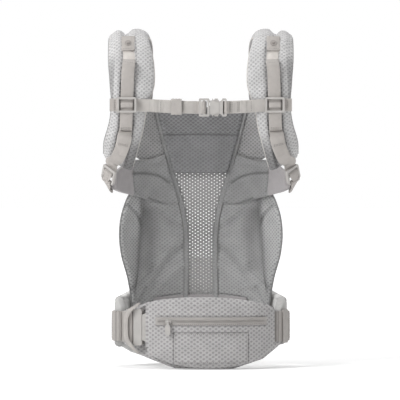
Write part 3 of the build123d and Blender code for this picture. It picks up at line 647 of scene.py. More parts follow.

# Side wings, with painted shade in their folds and seam.
WING_TOP = [(-57, 330.6), (-83, 323), (-109, 321.5), (-122, 314), (-132, 305), (-136.5, 291), (-136.2, 280)]
WING_LOW = [(-35, 255), (-60, 252.5), (-92, 262), (-114, 268.5), (-132, 275), (-136, 278)]
WING_FOLDS = [
    ([(-108, 302), (-86, 301), (-64, 295), (-50, 286)], 2.6, 2.6, 0.55),
    ([(-108, 295), (-86, 294), (-66, 288), (-54, 281)], -1.8, 5.0, 0.0),
    ([(-104, 312), (-84, 314), (-66, 319)], -1.6, 4.5, 0.0),
    ([(-84, 262), (-68, 256), (-54, 251)], 2.2, 2.2, 0.5),
    ([(-52, 322), (-50, 300), (-44, 275)], 1.0, 3.0, 0.25),
]
WING_SEAMS = [([(-108.5, 320), (-108, 300), (-105, 272)], 1.6, 1.3, 0.45)]
wing_l = patch(
    "side_wing_l", WING_TOP, WING_LOW, 133.9, 6.4, M_WING, 60, 130, 3.0, 1.0, WING_FOLDS, WING_SEAMS,
    zone=(M_FACING, lambda x, z: x < -107.3),
)
wing_r = both(wing_l, "side_wing")

# Strap roots.
ROOT_A = [(-88, 318.5), (-101, 326), (-116, 354), (-127, 385), (-128, 424)]
ROOT_B = [(-45, 312), (-50, 325), (-55, 341), (-69.5, 392), (-73.5, 408), (-80, 424)]
root_l = patch(
    "strap_root_l", ROOT_A, ROOT_B, 142.0, 4.6, M_ROOT, 44, 120, 3.0, 1.0,
    [([(-98, 420), (-90, 392), (-78, 352), (-66, 318)], -1.2, 12.0, 0.0)],
    [([(-68, 418), (-82, 372), (-84, 330)], 0.0, 1.5, 0.0)],
    bow=lambda x, z, u, v: (x, z - 3.0 * np.sin(math.pi * u) * (1 - v) ** 6),
)
root_r = both(root_l, "strap_root")

# Neck pad and head support: one padded piece with a sewn fold line, with painted shade along the fold line.
HEAD_L = [(-42, 301), (-53, 339), (-59.2, 361.5), (-64.4, 382), (-69, 403)]
HEAD_R = [(-x, z) for x, z in HEAD_L]
head_pad = patch(
    "head_support_pad", HEAD_L, HEAD_R,
    lambda x, z: 133.6 + 1.5 * smooth(z, 358, 366), lambda x, z: 8.0 + 3.2 * smooth(z, 358, 366), M_DARK,
    90, 110, 3.5, 1.0, [], [([(-60, 361.5), (0, 362.3), (60, 361.5)], 2.4, 1.7, 0.45)],
    bow=lambda x, z, u, v: (x, z + 2.5 * np.sin(math.pi * u) * smooth(v, 0.7, 1.0)),
    body=None, slot="dark_mesh", stands_for=("neck_pad", "head_cushion", "head_backing"),
    zone=(M_HEAD, lambda x, z: z > 362.5),
)
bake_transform(head_pad)

# Outer base panel behind the window.
base_panel = patch(
    "outer_base_panel_cloth", [(-48, 104), (-48, 168)], [(48, 104), (48, 168)], 141.4, 1.7, M_BASE, 60, 30,
    1.2, 0.5, stands_for=("outer_base_panel",),
)


# ---- mesh window with open holes
def net_window():
    step, row_step, hole = 4.3, 2.7, 0.94
    left = curve([(-28, 60), (-26, 165), (-26, 200), (-34, 254), (-46.5, 297), (-60, 360.5)], 400)
    verts, faces, keys = [], [], {}

    def put(x, z):
        key = (round(x, 3), round(z, 3))
        if key not in keys:
            keys[key] = len(verts)
            verts.append((x, z))
        return keys[key]

    rows = int((360 - 60) / row_step)
    for row in range(rows + 1):
        z0 = 60 + row_step * row
        limit = -np.interp(z0, left[:, 1], left[:, 0])
        for column in range(-16, 17):
            if (column + row) % 2:
                continue
            x0 = column * step
            if abs(x0) > limit - 0.5:
                continue
            outer, inner = [], []
            for k in range(8):
                turn = k * math.pi / 4
                reach = 1.0 if k % 2 == 0 else math.sqrt(0.5)
                outer.append(put(x0 + step * reach * math.cos(turn), z0 + row_step * reach * math.sin(turn)))
                verts.append((x0 + hole * 1.08 * math.cos(turn), z0 + hole * 0.92 * math.sin(turn)))
                inner.append(len(verts) - 1)
            for k in range(8):
                j = (k + 1) % 8
                faces.append((outer[k], outer[j], inner[j], inner[k]))
    flat = np.array(verts)
    edge = -np.interp(flat[:, 1], left[:, 1], left[:, 0])
    flat[:, 0] = np.clip(flat[:, 0], -edge, edge)
    flat[:, 1] = np.clip(flat[:, 1], 60.5, 360.5)
    points, _ = far_place(flat[:, 0], flat[:, 1], 139.8)
    uv = np.stack([flat[:, 0], flat[:, 1]], -1)
    # Painted shade: the net is darker towards the top.
    dark = 0.35 * smooth(flat[:, 1], 130, 235)
    net = make(
        "mesh_window_net", points, faces, M_NET, uv, dark, slot="window_net", stands_for=("mesh_window",),
    )
    thick = net.modifiers.new("thick", "SOLIDIFY")
    thick.thickness = 1.0 * MM
    thick.offset = 0
    soft = net.modifiers.new("soft", "SUBSURF")
    soft.levels = soft.render_levels = 1
    return net


window = net_window()


# ---- the waist loop
def loop_points(step=1.0):
    """Points round the waist loop's middle line, from the middle of the wearer's back and round its left side
    first, with outward normals."""
    corner_x = SIDE_X - CORNER_R
    far_half = math.asin(corner_x / (FAR_R - CORNER_R))
    near_half = math.asin(corner_x / (NEAR_R - CORNER_R))
    far_y = FAR_Y + (FAR_R - CORNER_R) * math.cos(far_half)
    near_y = NEAR_Y - (NEAR_R - CORNER_R) * math.cos(near_half)
    pieces = []

    def arc(cx, cy, r, a, b):
        turn = np.linspace(a, b, max(3, int(abs(b - a) * r / step)))
        c, s = np.cos(turn), np.sin(turn)
        pieces.append(np.stack([cx + r * c, cy + r * s, c, s], -1))

    up = math.pi / 2
    arc(0, NEAR_Y, NEAR_R, -up, -up - near_half)
    arc(-corner_x, near_y, CORNER_R, -up - near_half, -2 * up)
    side = np.linspace(near_y, far_y, 8)
    pieces.append(np.stack([np.full(8, -SIDE_X), side, np.full(8, -1.0), np.zeros(8)], -1))
    arc(-corner_x, far_y, CORNER_R, math.pi, up + far_half)
    arc(0, FAR_Y, FAR_R, up + far_half, up)
    half = np.concatenate(pieces)
    keep = np.concatenate([[True], np.linalg.norm(np.diff(half[:, :2], axis=0), axis=1) > 1e-6])
    half = half[keep]
    other = half[::-1][1:] * np.array([-1, 1, -1, 1])
    return np.concatenate([half, other])


LOOP = loop_points()
LOOP_S = run_along(LOOP[:, :2])


def on_loop(s, offset, z):
    s, offset, z = np.broadcast_arrays(np.asarray(s, float), offset, z)
    x, y, nx, ny = [np.interp(s, LOOP_S, LOOP[:, k]) for k in range(4)]
    size = np.hypot(nx, ny)
    nx, ny = nx / size, ny / size
    return np.stack([x + nx * offset, y + ny * offset, z], -1), np.stack([nx, ny, np.zeros_like(nx)], -1)


def loop_at_y(y, left=True, offset=0.0):
    """How far along the loop the line that far outside it passes y."""
    half = len(LOOP) // 2 + 1
    s = float(np.interp(y, LOOP[:half, 1] + offset * LOOP[:half, 3], LOOP_S[:half]))
    return s if left else LOOP_S[-1] - s


def loop_at_x(x):
    """How far along the loop its near arc passes x."""
    if x <= 0:
        near = int(np.argmax(LOOP[:, 1] > 1.0))
        return float(np.interp(-x, -LOOP[:near, 0], LOOP_S[:near]))
    return LOOP_S[-1] - loop_at_x(-x)


def loop_pad(name, s0, s1, low, high, offset, thick, material, n, m, round_r, edge_t, seams=(), **how):
    s, v = np.meshgrid(np.linspace(s0, s1, n), np.linspace(0, 1, m), indexing="ij")
    point, normal = on_loop(s, 0, 0)
    z0, z1 = low(point), high(point)
    z = z0 + (z1 - z0) * v
    inset = np.minimum(np.minimum(v, 1 - v) * (z1 - z0), np.minimum(s - s0, s1 - s))
    t = np.clip(inset / round_r, 0, 1)
    across = s - (s0 + s1) / 2
    cut, dark = valleys(across, z, seams)
    full = np.maximum(thick - 2 * cut, edge_t)
    body_t = edge_t + (full - edge_t) * np.sqrt(1 - (1 - t) ** 2)
    turned = np.exp(-(((np.abs(across) - 232) / 30) ** 2))  # small creases where the belt turns forward
    crease = turned * (0.9 * np.sin(across * 0.33 + z * 0.05) + 0.6 * np.sin(across * 0.16 - z * 0.11))
    middle, normal = on_loop(s, offset + crease, z)
    uv = np.stack([s, z], -1)
    # Painted shade: darker at both ends of the belt, towards its bottom edge and along its seams.
    ends = 0.6 * smooth(np.abs(across), (s1 - s0) / 2 - 80, (s1 - s0) / 2 - 45)
    dark = np.minimum(dark + 0.4 * (1 - smooth(z, 26, 62)) + ends, 1)
    return shell(name, middle, normal, body_t, uv, material, dark, **how)


# Heights of the belt's edges: (x, z) across the back, then (y, z) forward to its tips.
BELT_TOP = [(-140, 101), (-128, 108.5), (-110, 118), (0, 118), (110, 118), (128, 108.5), (140, 101)]
BELT_LOW = [(-140, 38), (-125, 30), (-110, 20), (-60, 0.3), (60, 0.3), (106, 22), (122, 34), (140, 40)]
TIP_TOP = [(-25.5, 76), (-24, 92), (-18, 104), (-6, 113), (12, 120), (40, 124), (200, 124)]
TIP_LOW = [(-25.5, 62), (-24, 46), (-20, 37), (-8, 30), (25, 20), (60, 0), (200, -5)]


def belt_high(p):
    return np.minimum(height_at(p[..., 0], BELT_TOP), height_at(p[..., 1], TIP_TOP))


def belt_low(p):
    return np.maximum(height_at(p[..., 0], BELT_LOW), height_at(p[..., 1], TIP_LOW))


belt_start, belt_end = loop_at_y(-25), loop_at_y(-25, False)
belt_half = (belt_end - belt_start) / 2
belt = loop_pad(
    "waist_belt_pad", belt_start, belt_end, belt_low, belt_high, 0.0, 13.6, M_BELT, 320, 60, 6.5, 2.0,
    [([(-belt_half + 20, 100), (-90, 108), (0, 107), (90, 108), (belt_half - 20, 100)], 1.0, 1.6, 0.2),
     ([(-belt_half + 24, 40), (-90, 18), (0, 12), (90, 18), (belt_half - 24, 40)], 1.0, 1.6, 0.2)]
    + [([(q, 16 + 0.06 * abs(q)), (q, 104)], 1.2, 1.8, 0.25) for q in (-170, -85, 0, 85, 170)],
    slot="mesh_fabric", stands_for=("waist_belt_cover", "waist_belt_foam"),
)

LUMBAR_TOP = [(-118, 88), (-80, 103), (0, 111), (80, 104), (122, 88)]
LUMBAR_LOW = [(-118, 38), (-85, 17), (-40, 1.0), (50, 0.2), (95, 14), (122, 36)]
# The lumbar pad crosses the start of the loop line, so its own run goes by x from its left end.
lumbar_x = np.linspace(-118, 122, 200)


def lumbar():
    x, v = np.meshgrid(lumbar_x, np.linspace(0, 1, 60), indexing="ij")
    z0, z1 = height_at(x, LUMBAR_LOW), height_at(x, LUMBAR_TOP)
    z = z0 + (z1 - z0) * v
    inset = np.minimum(np.minimum(v, 1 - v) * (z1 - z0), np.minimum(x + 118, 122 - x))
    t = np.clip(inset / 6.0, 0, 1)
    body_t = 2.0 + 10.8 * np.sqrt(1 - (1 - t) ** 2)
    line = np.array([loop_at_x(q) for q in lumbar_x])
    s = np.repeat(line[:, None], 60, 1)
    middle, normal = on_loop(s, 0.0, z)
    uv = np.stack([x * 1.08, z], -1)
    shade = np.zeros(x.shape)
    return shell(
        "lumbar_pad_mesh", middle, normal, body_t, uv, M_POUCH, shade, slot="mesh_fabric",
        stands_for=("lumbar_pad_cover", "lumbar_pad_foam"),
    )


lumbar_pad = lumbar()

# ---- pouch
POUCH_TOP = curve(
    [(-83, 102), (-72, 105.5), (-40, 110), (0, 111.5), (60, 108), (100, 99.5), (114.5, 94)], 200
)
POUCH_LOW = curve([(-83, 24), (-55, 12), (-20, 4), (30, 2.2), (82, 12), (114.5, 31)], 200)
# The last number of each pouch seam and of the pocket outline is the painted shade along it.
POUCH_SEAMS = [
    ([(-74, 99), (-74, 62), (-74, 24)], 0.5, 1.0, 0.2),
    ([(-80, 97), (0, 105.5), (112, 89.5)], 0.5, 1.2, 0.1),
    ([(-42, 8), (-42, 57.2)], 0.7, 1.1, 0.6),
    ([(-42, 57.2), (73.4, 57.2)], 0.7, 1.1, 0.6),
    ([(73.4, 57.2), (73.4, 8)], 0.7, 1.1, 0.6),
    ([(-64, 81.5), (20, 82), (100, 81)], 0.4, 1.0, 0.25),
    ([(-68, 67.5), (20, 67.5), (100, 67.5)], 0.6, 1.2, 0.45),
]
POUCH_IN, POUCH_OUT = 155.4, 172.4


def pouch():
    xs = np.concatenate([[-83, -82.5, -81.8, -80.8], np.linspace(-79, 111, 190), [112.4, 113.4, 114, 114.5]])
    m = 110
    share = 0.5 - 0.5 * np.cos(np.linspace(0, math.pi, m))
    share = 0.5 * share + 0.5 * np.linspace(0, 1, m)
    x, v = np.meshgrid(xs, share, indexing="ij")
    z0, z1 = height_at(x, POUCH_LOW), height_at(x, POUCH_TOP)
    z = z0 + (z1 - z0) * v
    inset = np.minimum(np.minimum(v, 1 - v) * (z1 - z0), np.minimum(x + 83, 114.5 - x))
    cut, dark = valleys(x, z, POUCH_SEAMS)
    roll = np.sqrt(1 - (1 - np.clip(inset / 13.0, 0, 1)) ** 2)
    soft = 0.7 * np.sin(x * 0.09 + 1.0) * np.sin(z * 0.11) * smooth(inset, 6, 16)
    face = POUCH_OUT - 9.5 * (1 - roll) - cut + np.where(z > 86, 0.8 * soft, 0.3 * soft)
    back = POUCH_IN + 1.2 * (1 - roll)
    pocket = (x < -43) & (z > 33) & (z < 96)
    back = np.where(pocket, np.maximum(back, 167.0), back)
    centre = (face + back) / 2
    middle, normal = near_place(x * centre / face, z, centre)
    uv = np.stack([POUCH_OUT * np.arcsin(x / POUCH_OUT), z], -1)
    # Painted shade: the pouch is darker towards its right end.
    dark = np.minimum(dark + 0.22 * smooth(x, 70, 114), 1)
    return shell("pouch_cloth", middle, normal, face - back, uv, M_POUCH, dark, slot="pouch_mesh",
                 stands_for=("pouch_body",))


pouch_obj = pouch()
pocket = patch(
    "pouch_pocket_cloth", [(-41, 9.5), (-41, 56)], [(72.5, 9.5), (72.5, 56)], 172.9, 1.5, M_POUCH, 90, 50,
    1.4, 0.5, (), [([(-41, 52), (15, 52), (72, 52)], 0.3, 0.8, 0.25)], slot="pouch_mesh",
    stands_for=("pouch_front_pocket",), place=near_place,
    bow=lambda x, z, u, v: (x, z + 1.5 * (1 - v) * (2 * u - 1) ** 2 * 2),
)


def near_line(points, radius, n=60):
    flat = curve(points, n)
    return near_place(flat[:, 0], flat[:, 1], radius)


# Zip: tape, coil and the stitched lines beside it.
ZIP_Z, ZIP_LEFT, ZIP_RIGHT = 74.5, -70.0, 102.0
patch(
    "zip_tape_cloth", [(ZIP_LEFT, ZIP_Z - 6), (ZIP_LEFT, ZIP_Z + 6)],
    [(ZIP_RIGHT, ZIP_Z - 6), (ZIP_RIGHT, ZIP_Z + 6)],
    173.2, 1.0, M_ZIP, 120, 24, 0.8, 0.4, slot="zip", stands_for=("zip_tape",), place=near_place,
)


def zip_teeth():
    verts, faces, uv = [], [], []
    count = int((ZIP_RIGHT - ZIP_LEFT - 7) / 1.15)
    for i in range(count):
        x0 = ZIP_LEFT + 3.5 + 1.15 * i
        up = 1 if i % 2 else -1
        base = len(verts)
        for dx, r in ((-0.42, 173.6), (0.42, 173.6), (0.36, 174.6), (-0.36, 174.6)):
            for dz in (-0.5, 1.75):
                p, _ = near_place(np.array([x0 + dx]), np.array([ZIP_Z + up * dz]), np.array([r]))
                verts.append(p[0])
                uv.append((x0, dz))
        quads = [(0, 1, 3, 2), (2, 3, 5, 4), (4, 5, 7, 6), (6, 7, 1, 0), (0, 2, 4, 6), (1, 7, 5, 3)]
        faces += [tuple(base + k for k in q) for q in quads]
    make("zip_teeth", verts, faces, M_ZIP, uv, slot="zip", stands_for=("zip_coil",))


zip_teeth()
STITCH_R = 173.8
pouch_lines = [
    near_line([(ZIP_LEFT + 2, ZIP_Z + 8.2), (20, ZIP_Z + 8.4), (ZIP_RIGHT - 2, ZIP_Z + 7.8)], 172.7),
    near_line([(ZIP_LEFT + 12, ZIP_Z - 4.4), (20, ZIP_Z - 4.4), (ZIP_RIGHT - 2, ZIP_Z - 4.4)], STITCH_R),
    near_line([(-41.5, 54.5), (73, 54.5)], STITCH_R),
    near_line([(-39.6, 11), (-39.6, 54)], STITCH_R, 20),
    near_line([(71, 11), (71, 54)], STITCH_R, 20),
    near_line([(-39, 12.4), (15, 11.0), (70, 12.4)], STITCH_R),
]
stitches("pouch_stitches", pouch_lines, 3.2, 2.0, 0.3, slot="pouch_mesh")

# ---- webbing of the waist
WAIST_Z = 64.0


def loop_ribbon(name, s0, s1, offset, width, thick, material, n=80, dim=None, **how):
    centre, out = on_loop(np.linspace(s0, s1, n), offset, WAIST_Z)
    up = np.tile(np.array([0, 0, 1.0]), (n, 1))
    section = strap_section(width, thick)
    if dim is not None:
        how["shade"] = lambda i: np.full(len(section), dim(centre[i, 0]))
    return sweep(name, centre, up, out, lambda i: section, material, **how)


plug_end = loop_at_x(-105)
left_sewn, right_sewn = loop_at_y(18), loop_at_y(18, False)


def stripes(x, lines):
    """Soft lines of painted shade down a webbing at these places."""
    return min(sum(dark * math.exp(-(((x - at) / wide) ** 2)) for at, wide, dark in lines), 1.0)


# Painted shade on the waist webbing: lines where its folded layers and the keeper meet, and broader darkening
# near its sides.
def left_dim(x):
    return stripes(x, [(-125.6, 1.6, 0.4), (-120.4, 0.8, 0.35), (-131.4, 1.0, 0.6), (-128, 9, 0.2)])


def right_dim(x):
    marks = [(114.5, 2.4, 0.7), (120.2, 0.8, 0.5), (117.5, 3.0, 0.3), (127.4, 1.1, 0.8), (125, 2.5, 0.2)]
    return stripes(x, marks)


web_left = loop_ribbon(
    "waist_webbing_l", plug_end, left_sewn, 8.1, 47.5, 1.6, M_WEB, 120, body=None, dim=left_dim,
    stands_for=("waist_webbing_left",),
)
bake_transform(web_left)

loop_ribbon(
    "waist_webbing_r", loop_at_x(60), right_sewn, 8.1, 47.5, 1.6, M_WEB, 120, dim=right_dim,
    stands_for=("waist_webbing_right",),
)
loop_ribbon(
    "waist_tail_l", loop_at_y(-36, True, 10), loop_at_y(11, True, 10), 10.0, 46, 1.7, M_WEB,
    dim=left_dim, stands_for=("waist_tail_left",),
)
loop_ribbon(
    "waist_tail_r", loop_at_y(-13, False, 10), loop_at_y(13, False, 10), 10.0, 46, 1.7, M_WEB,
    stands_for=("waist_tail_right",),
)
loop_ribbon(
    "waist_keeper_r", loop_at_y(-31, False, 10), loop_at_y(-17, False, 10), 10.3, 52, 1.9, M_ELASTIC, 20,
    stands_for=("waist_keeper_right",),
)


def box_stitch(side, y0, y1, z0, z1, offset):
    """A sewn rectangle with a cross in it, on the side of the belt."""
    runs = []
    s0, s1 = loop_at_y(y0, side), loop_at_y(y1, side)
    corners = [(s0, z0), (s1, z0), (s1, z1), (s0, z1), (s0, z0)]
    pairs = list(zip(corners[:-1], corners[1:])) + [((s0, z0), (s1, z1)), ((s0, z1), (s1, z0))]
    for (sa, za), (sb, zb) in pairs:
        t = np.linspace(0, 1, 30)
        runs.append(on_loop(sa + (sb - sa) * t, offset, za + (zb - za) * t))
    return runs


box_runs = box_stitch(True, -2, 9, 45, 83, 11.0) + box_stitch(False, -2, 11, 45, 83, 11.0)
stitches("waist_box_stitches", box_runs)

# ---- hard fittings kept from the frame
PLASTIC_PARTS = [
    "waist_buckle_socket", "waist_buckle_plug", "waist_prong_lower", "waist_prong_upper", "chest_buckle_socket",
    "chest_buckle_plug", "chest_prong_lower", "chest_prong_upper", "adjuster_left", "adjuster_right",
    "chest_slider_left", "chest_slider_right",
]
for material, *names in (
    (M_PLASTIC, *PLASTIC_PARTS),
    (M_METAL, "zip_slider", "zip_pull"),
    (M_SNAP, "snap_stud_left", "snap_stud_right"),
):
    for node_name in names:
        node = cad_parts[node_name]
        node.data.materials.clear()
        node.data.materials.append(material)
        merge = node.modifiers.new("merge", "WELD")
        merge.merge_threshold = 0.00002
        round_off = node.modifiers.new("round", "BEVEL")
        round_off.width = (0.25 if node_name.startswith("zip") else 0.55) * MM
        round_off.segments = 2
        round_off.limit_method = "ANGLE"
        round_off.angle_limit = math.radians(40)
        round_off.use_clamp_overlap = True

# Waist buckle frame, for the webbing threaded through the plug.
BUCKLE_R, BUCKLE_X, PLUG_REACH, PLUG_TURN = 155.8, 87.0, 21.0, math.radians(25.926)
angle = math.asin((PLUG_REACH * math.cos(PLUG_TURN) - BUCKLE_X) / BUCKLE_R)
TAN = np.array([math.cos(angle), math.sin(angle), 0.0])
OUTN = np.array([math.sin(angle), -math.cos(angle), 0.0])
MOUTH = np.array([0, NEAR_Y, WAIST_Z]) + OUTN * BUCKLE_R - TAN * PLUG_REACH


def at_plug(u, h):
    return MOUTH - TAN * u + OUTN * h


ribbon(
    "waist_plug_webbing",
    [at_plug(34, -0.6), at_plug(28, 1.0), at_plug(25.5, 4.5), at_plug(23.6, 8.2), at_plug(21.2, 10.0),
     at_plug(18.4, 9.0), at_plug(16.9, 5.0), at_plug(16.0, 2.0)],
    UP, 46.5, 1.6, M_WEB, 40, body="waist_plug",
)

# Elastic safety loop round the buckle.
SAFE_R = 176.0
safety_points = [
    (-95.5, 101, 161), (-100, 97.5, 169), (-109, 91, 175.5), (-115, 80, SAFE_R), (-116, 64, SAFE_R),
    (-115, 48, SAFE_R), (-109, 37, 175.5), (-101, 27.5, 169), (-95.5, 23.5, 161),
]
safe = [(x, NEAR_Y - math.sqrt(r * r - x * x), z) for x, z, r in safety_points]
ribbon(
    "waist_safety_loop_band", safe, (-0.8, 0.6, 0.0), 8.4, 1.5, M_ELASTIC, 90, slot="elastic",
    taper=lambda t: 0.75 + 0.25 * math.sin(math.pi * t), stands_for=("waist_safety_loop",),
)

# ---- shoulder straps
# x, y, z of the webbing's line, the width to its outer and inner side, and the turn about the vertical.
STATIONS = np.array([
    (-129, -57, 316, 24.5, 24, 0), (-121.8, -71, 345, 28.4, 24.8, 0), (-115.6, -79, 375, 26.4, 26.6, 0),
    (-114.2, -81.5, 405, 23.8, 31.0, 0), (-112.6, -81, 440, 27.4, 40.2, 0), (-111, -72, 473, 31.4, 38.0, 0),
    (-111.8, -51, 501, 31.0, 32.4, 2), (-112.5, -18, 514, 29.4, 29.4, 6), (-109, 15, 505, 30, 31, 14),
    (-105, 37, 480, 32, 32, 28), (-101, 46, 452, 31, 31, 40), (-99, 53, 425, 29, 29, 44),
    (-98, 57.5, 405, 26, 26, 44),
], float)
STRAP_N = 150
share = np.linspace(0, 1, STRAP_N)
share = 0.85 * share + 0.15 * (0.5 - 0.5 * np.cos(share * math.pi))
strap_line = curve(STATIONS, STRAP_N, share)
S_CENTRE = strap_line[:, :3]
S_WIDE = strap_line[:, 3:5]
turn = np.radians(strap_line[:, 5])
S_ALONG = unit(np.gradient(S_CENTRE, axis=0))
S_ACROSS = np.stack([np.cos(turn), np.sin(turn), np.zeros_like(turn)], -1)
S_ACROSS = square_to(S_ALONG, S_ACROSS)
S_OUT = np.cross(S_ACROSS, S_ALONG)
S_OUT *= np.where((S_OUT * (S_CENTRE - np.array([-110, -20, 420]))).sum(1, keepdims=True) < 0, -1, 1)
S_RUN = run_along(S_CENTRE)
RING = round_angles(64)


def strap_ring(i):
    """Section of the padded strap: two puffed lobes outside with a channel between them, flat inside."""
    c, s = np.cos(RING), np.sin(RING)
    near_end, far_end = np.clip([S_RUN[i] / 9.0, (S_RUN[-1] - S_RUN[i]) / 14.0], 0, 1)
    taper = math.sqrt(max(1 - (1 - near_end) ** 2, 0.02)) * math.sqrt(max(1 - (1 - far_end) ** 2, 0.02))
    side = np.where(c < 0, S_WIDE[i, 0], S_WIDE[i, 1]) * (0.8 + 0.2 * taper)
    w = side * np.sign(c) * np.abs(c) ** 0.72
    over = smooth(S_RUN[i], 176, 205)
    lobe = 1.5 * np.sin(np.clip(np.abs(w) / side, 0, 1) * math.pi) + (0.9 + 1.1 * over) * smooth(w, -4, 6)
    channel = (5.6 + 1.2 * over) * np.exp(-np.abs((w + 4 * over) / (10.4 - 5.6 * over)) ** (6 - 4 * over))
    slope = 5.5 * (1 - smooth(w + S_WIDE[i, 0], 0, 11)) * np.abs(s)
    outer = 9.6 * np.abs(s) ** 0.6 + (lobe - channel) * np.abs(s) ** 0.3 - slope
    inner = -9.4 * np.abs(s) ** 0.55
    puff = 0.5 * np.sin(S_RUN[i] * 0.21 + w * 0.1) * s**2
    h = np.where(s >= 0, outer + puff, inner) * taper
    return np.stack([w, h], -1)


def strap_shade(i):
    """How much painted shade darkens the strap's ring i: along the seams, at the lower end, along the inner
    edge low down and on the shaded outer side.
    """
    w, z = strap_ring(i)[:, 0], S_CENTRE[i, 2]
    up = np.sin(RING) > 0.05
    near_leg = i < int(np.argmax(S_CENTRE[:, 2]))
    seam = 0.7 * np.exp(-(((np.abs(w) - 10.8) / 1.2) ** 2)) * up
    low = 0.75 * (1 - smooth(S_RUN[i], 12, 66)) * smooth(w, 2, 12)
    inner_edge = 0.3 * (1 - smooth(z, 380, 440)) * smooth(w, 12, 26)
    outer_side = 0.55 * smooth(z, 396, 412) * (1 - smooth(z, 452, 502)) * smooth(-w, 20, 23) * near_leg
    return np.clip(seam + low + inner_edge * near_leg + outer_side, 0, 1)


# The lower end is cut on a slant, lower towards the wearer's side.
S_SKEW = -0.28 * (1 - smooth(S_RUN, 0, 40))
S_ACROSS = unit(S_ACROSS + S_SKEW[:, None] * np.array([0, 0, 1.0]))

strap_l = sweep(
    "shoulder_strap_pad_l", S_CENTRE, S_ACROSS, S_OUT, strap_ring, M_NEAR, 1.15, strap_shade,
    marks=(M_SIDE, lambda j: 31 <= j <= 62), slot="mesh_fabric",
)
strap_r = both(strap_l, "shoulder_strap", "shoulder_foam")
for label, edge, cord in (("outer", -1, M_SIDE), ("inner", 1, M_PALE_WEB)):
    reach = edge * (S_WIDE[3:-5, (1 + edge) // 2] - 0.2)
    line = S_CENTRE[3:-5] + S_ACROSS[3:-5] * reach[:, None] + S_OUT[3:-5] * -1.2
    piping = tube("strap_piping_%s_l" % label, line[::3], 1.25, cord, 160, slot="mesh_fabric")
    mirrored(piping)


# ---- webbing on the straps
RAIL_X, RAIL_Y, CHEST_Z = 114.2, -97.0, 408.0
lean = math.tan(math.radians(2.0))


def rail_at(z, y=RAIL_Y - 0.8):
    return (-RAIL_X + (z - CHEST_Z) * lean, y, z)


def on_strap(z, lift, x):
    """A point over the near leg of the strap, at a height of the strap's line and moved to this x."""
    leg = slice(0, int(np.argmax(S_CENTRE[:, 2])))
    order = np.argsort(S_CENTRE[leg, 2])
    heights = S_CENTRE[leg, 2][order]
    middle = np.array([np.interp(z, heights, S_CENTRE[leg, k][order]) for k in range(3)])
    p = middle + lift * unit(np.array([np.interp(z, heights, S_OUT[leg, k][order]) for k in range(3)]))
    return (x, p[1], p[2])


# Straight and flat wherever the chest strap's sliders can reach.
rail_points = [on_strap(360, 5.6, -115.8), on_strap(366, 6.4, -115.6)]
rail_points += [rail_at(z) for z in (373, 377, 395, 420, 450, 460)]
rail_points += [(-111.3, RAIL_Y - 0.8, 469), on_strap(477, 6.2, -110.6), on_strap(486, 5.6, -110.3)]
rail_l = ribbon("rail_webbing_l", rail_points, (1, 0, -lean), 19.6, 1.6, M_WEB, 110)
both(rail_l, "rail_webbing")

patch_points = [on_strap(474, 7.2, -110), on_strap(482, 7.4, -110.3), on_strap(491, 6.6, -111.2),
                on_strap(500, 6.4, -112.2), on_strap(507, 6.2, -112.5)]
patch_l = ribbon("rail_anchor_l", patch_points, (1, 0, -lean), 19.8, 1.8, M_PALE_WEB, 40)
mirrored(patch_l)

SNAP_N = np.array([0, -math.cos(math.radians(37.2)), math.sin(math.radians(37.2))])
SNAP_O = np.array([-112.5, -62.9, 502.7])
SNAP_UP = np.cross(SNAP_N, [1.0, 0, 0])
snap_points = [SNAP_O + SNAP_UP * k * 14 + SNAP_N * (1.1 + lift) for k, lift in
               ((-1, -0.2), (-0.6, 0), (0, 0), (0.6, 0), (1, -0.4))]
snap_l = ribbon("snap_tab_l", snap_points, (1, 0.0, 0.06), 20.8, 2.0, M_WEB, 30)
both(snap_l, "snap_tab")

# Ladder lock frame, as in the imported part.
BAR = unit(np.array([-0.627, 0.63, 0.458]))
UPW = np.array([0.2, -0.46, 0.865])
UPW = unit(UPW - BAR * (UPW @ BAR))
LOCK_N = -unit(np.cross(BAR, UPW))
LOCK_X = -BAR
LOCK_Y = np.cross(LOCK_N, LOCK_X)
LOCK_O = np.array([-142.5, -63.0, 300.0])


def at_lock(y, h, x=0.0):
    return LOCK_O + LOCK_X * x + LOCK_Y * y + LOCK_N * h


web_points = [on_strap(372, 5.4, -115.6), (-117.4, -96.2, 362), (-121.5, -95.2, 343), (-129, -86.5, 325.5),
              at_lock(20, -1.0), at_lock(12.5, -3.3), at_lock(8.2, -2.2), at_lock(6.2, 0.8),
              at_lock(4.2, 3.2), at_lock(1.5, 3.7), at_lock(-3, 3.6), at_lock(-8.5, 3.9)]
web_across = [(1, 0, 0), (1, 0, -0.1), (1, 0, -0.25), (1, -0.05, -0.35), (0.95, -0.2, -0.4),
              (0.8, -0.45, -0.4)] + [tuple(LOCK_X)] * 6
strap_web_l = ribbon(
    "strap_webbing_l", web_points, web_across, 21.4, 1.6, M_WEB, 130, body=None,
    taper=lambda t: 1 - 0.09 * float(smooth(t, 0.66, 0.76)) - 0.3 * float(smooth(t, 0.9, 1.0)),
    stands_for=("strap_webbing_left",),
)
strap_web_r = mirrored(strap_web_l, None, ["strap_webbing_right"])
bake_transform(strap_web_l)
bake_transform(strap_web_r)

# The webbing's folded return over the middle of the near leg.
fold_points = [(-116.4, -97.9, 360), (-117.4, -98.9, 355), (-119.6, -98.2, 347), (-123.0, -94.6, 338),
               (-126, -91.0, 332)]
fold_across = [(1, 0, 0), (1, 0, -0.1), (1, 0, -0.2), (0.95, -0.2, -0.3), (0.9, -0.3, -0.3)]
fold_l = ribbon("strap_fold_l", fold_points, fold_across, 21.6, 1.5, M_WEB, 40)
mirrored(fold_l)

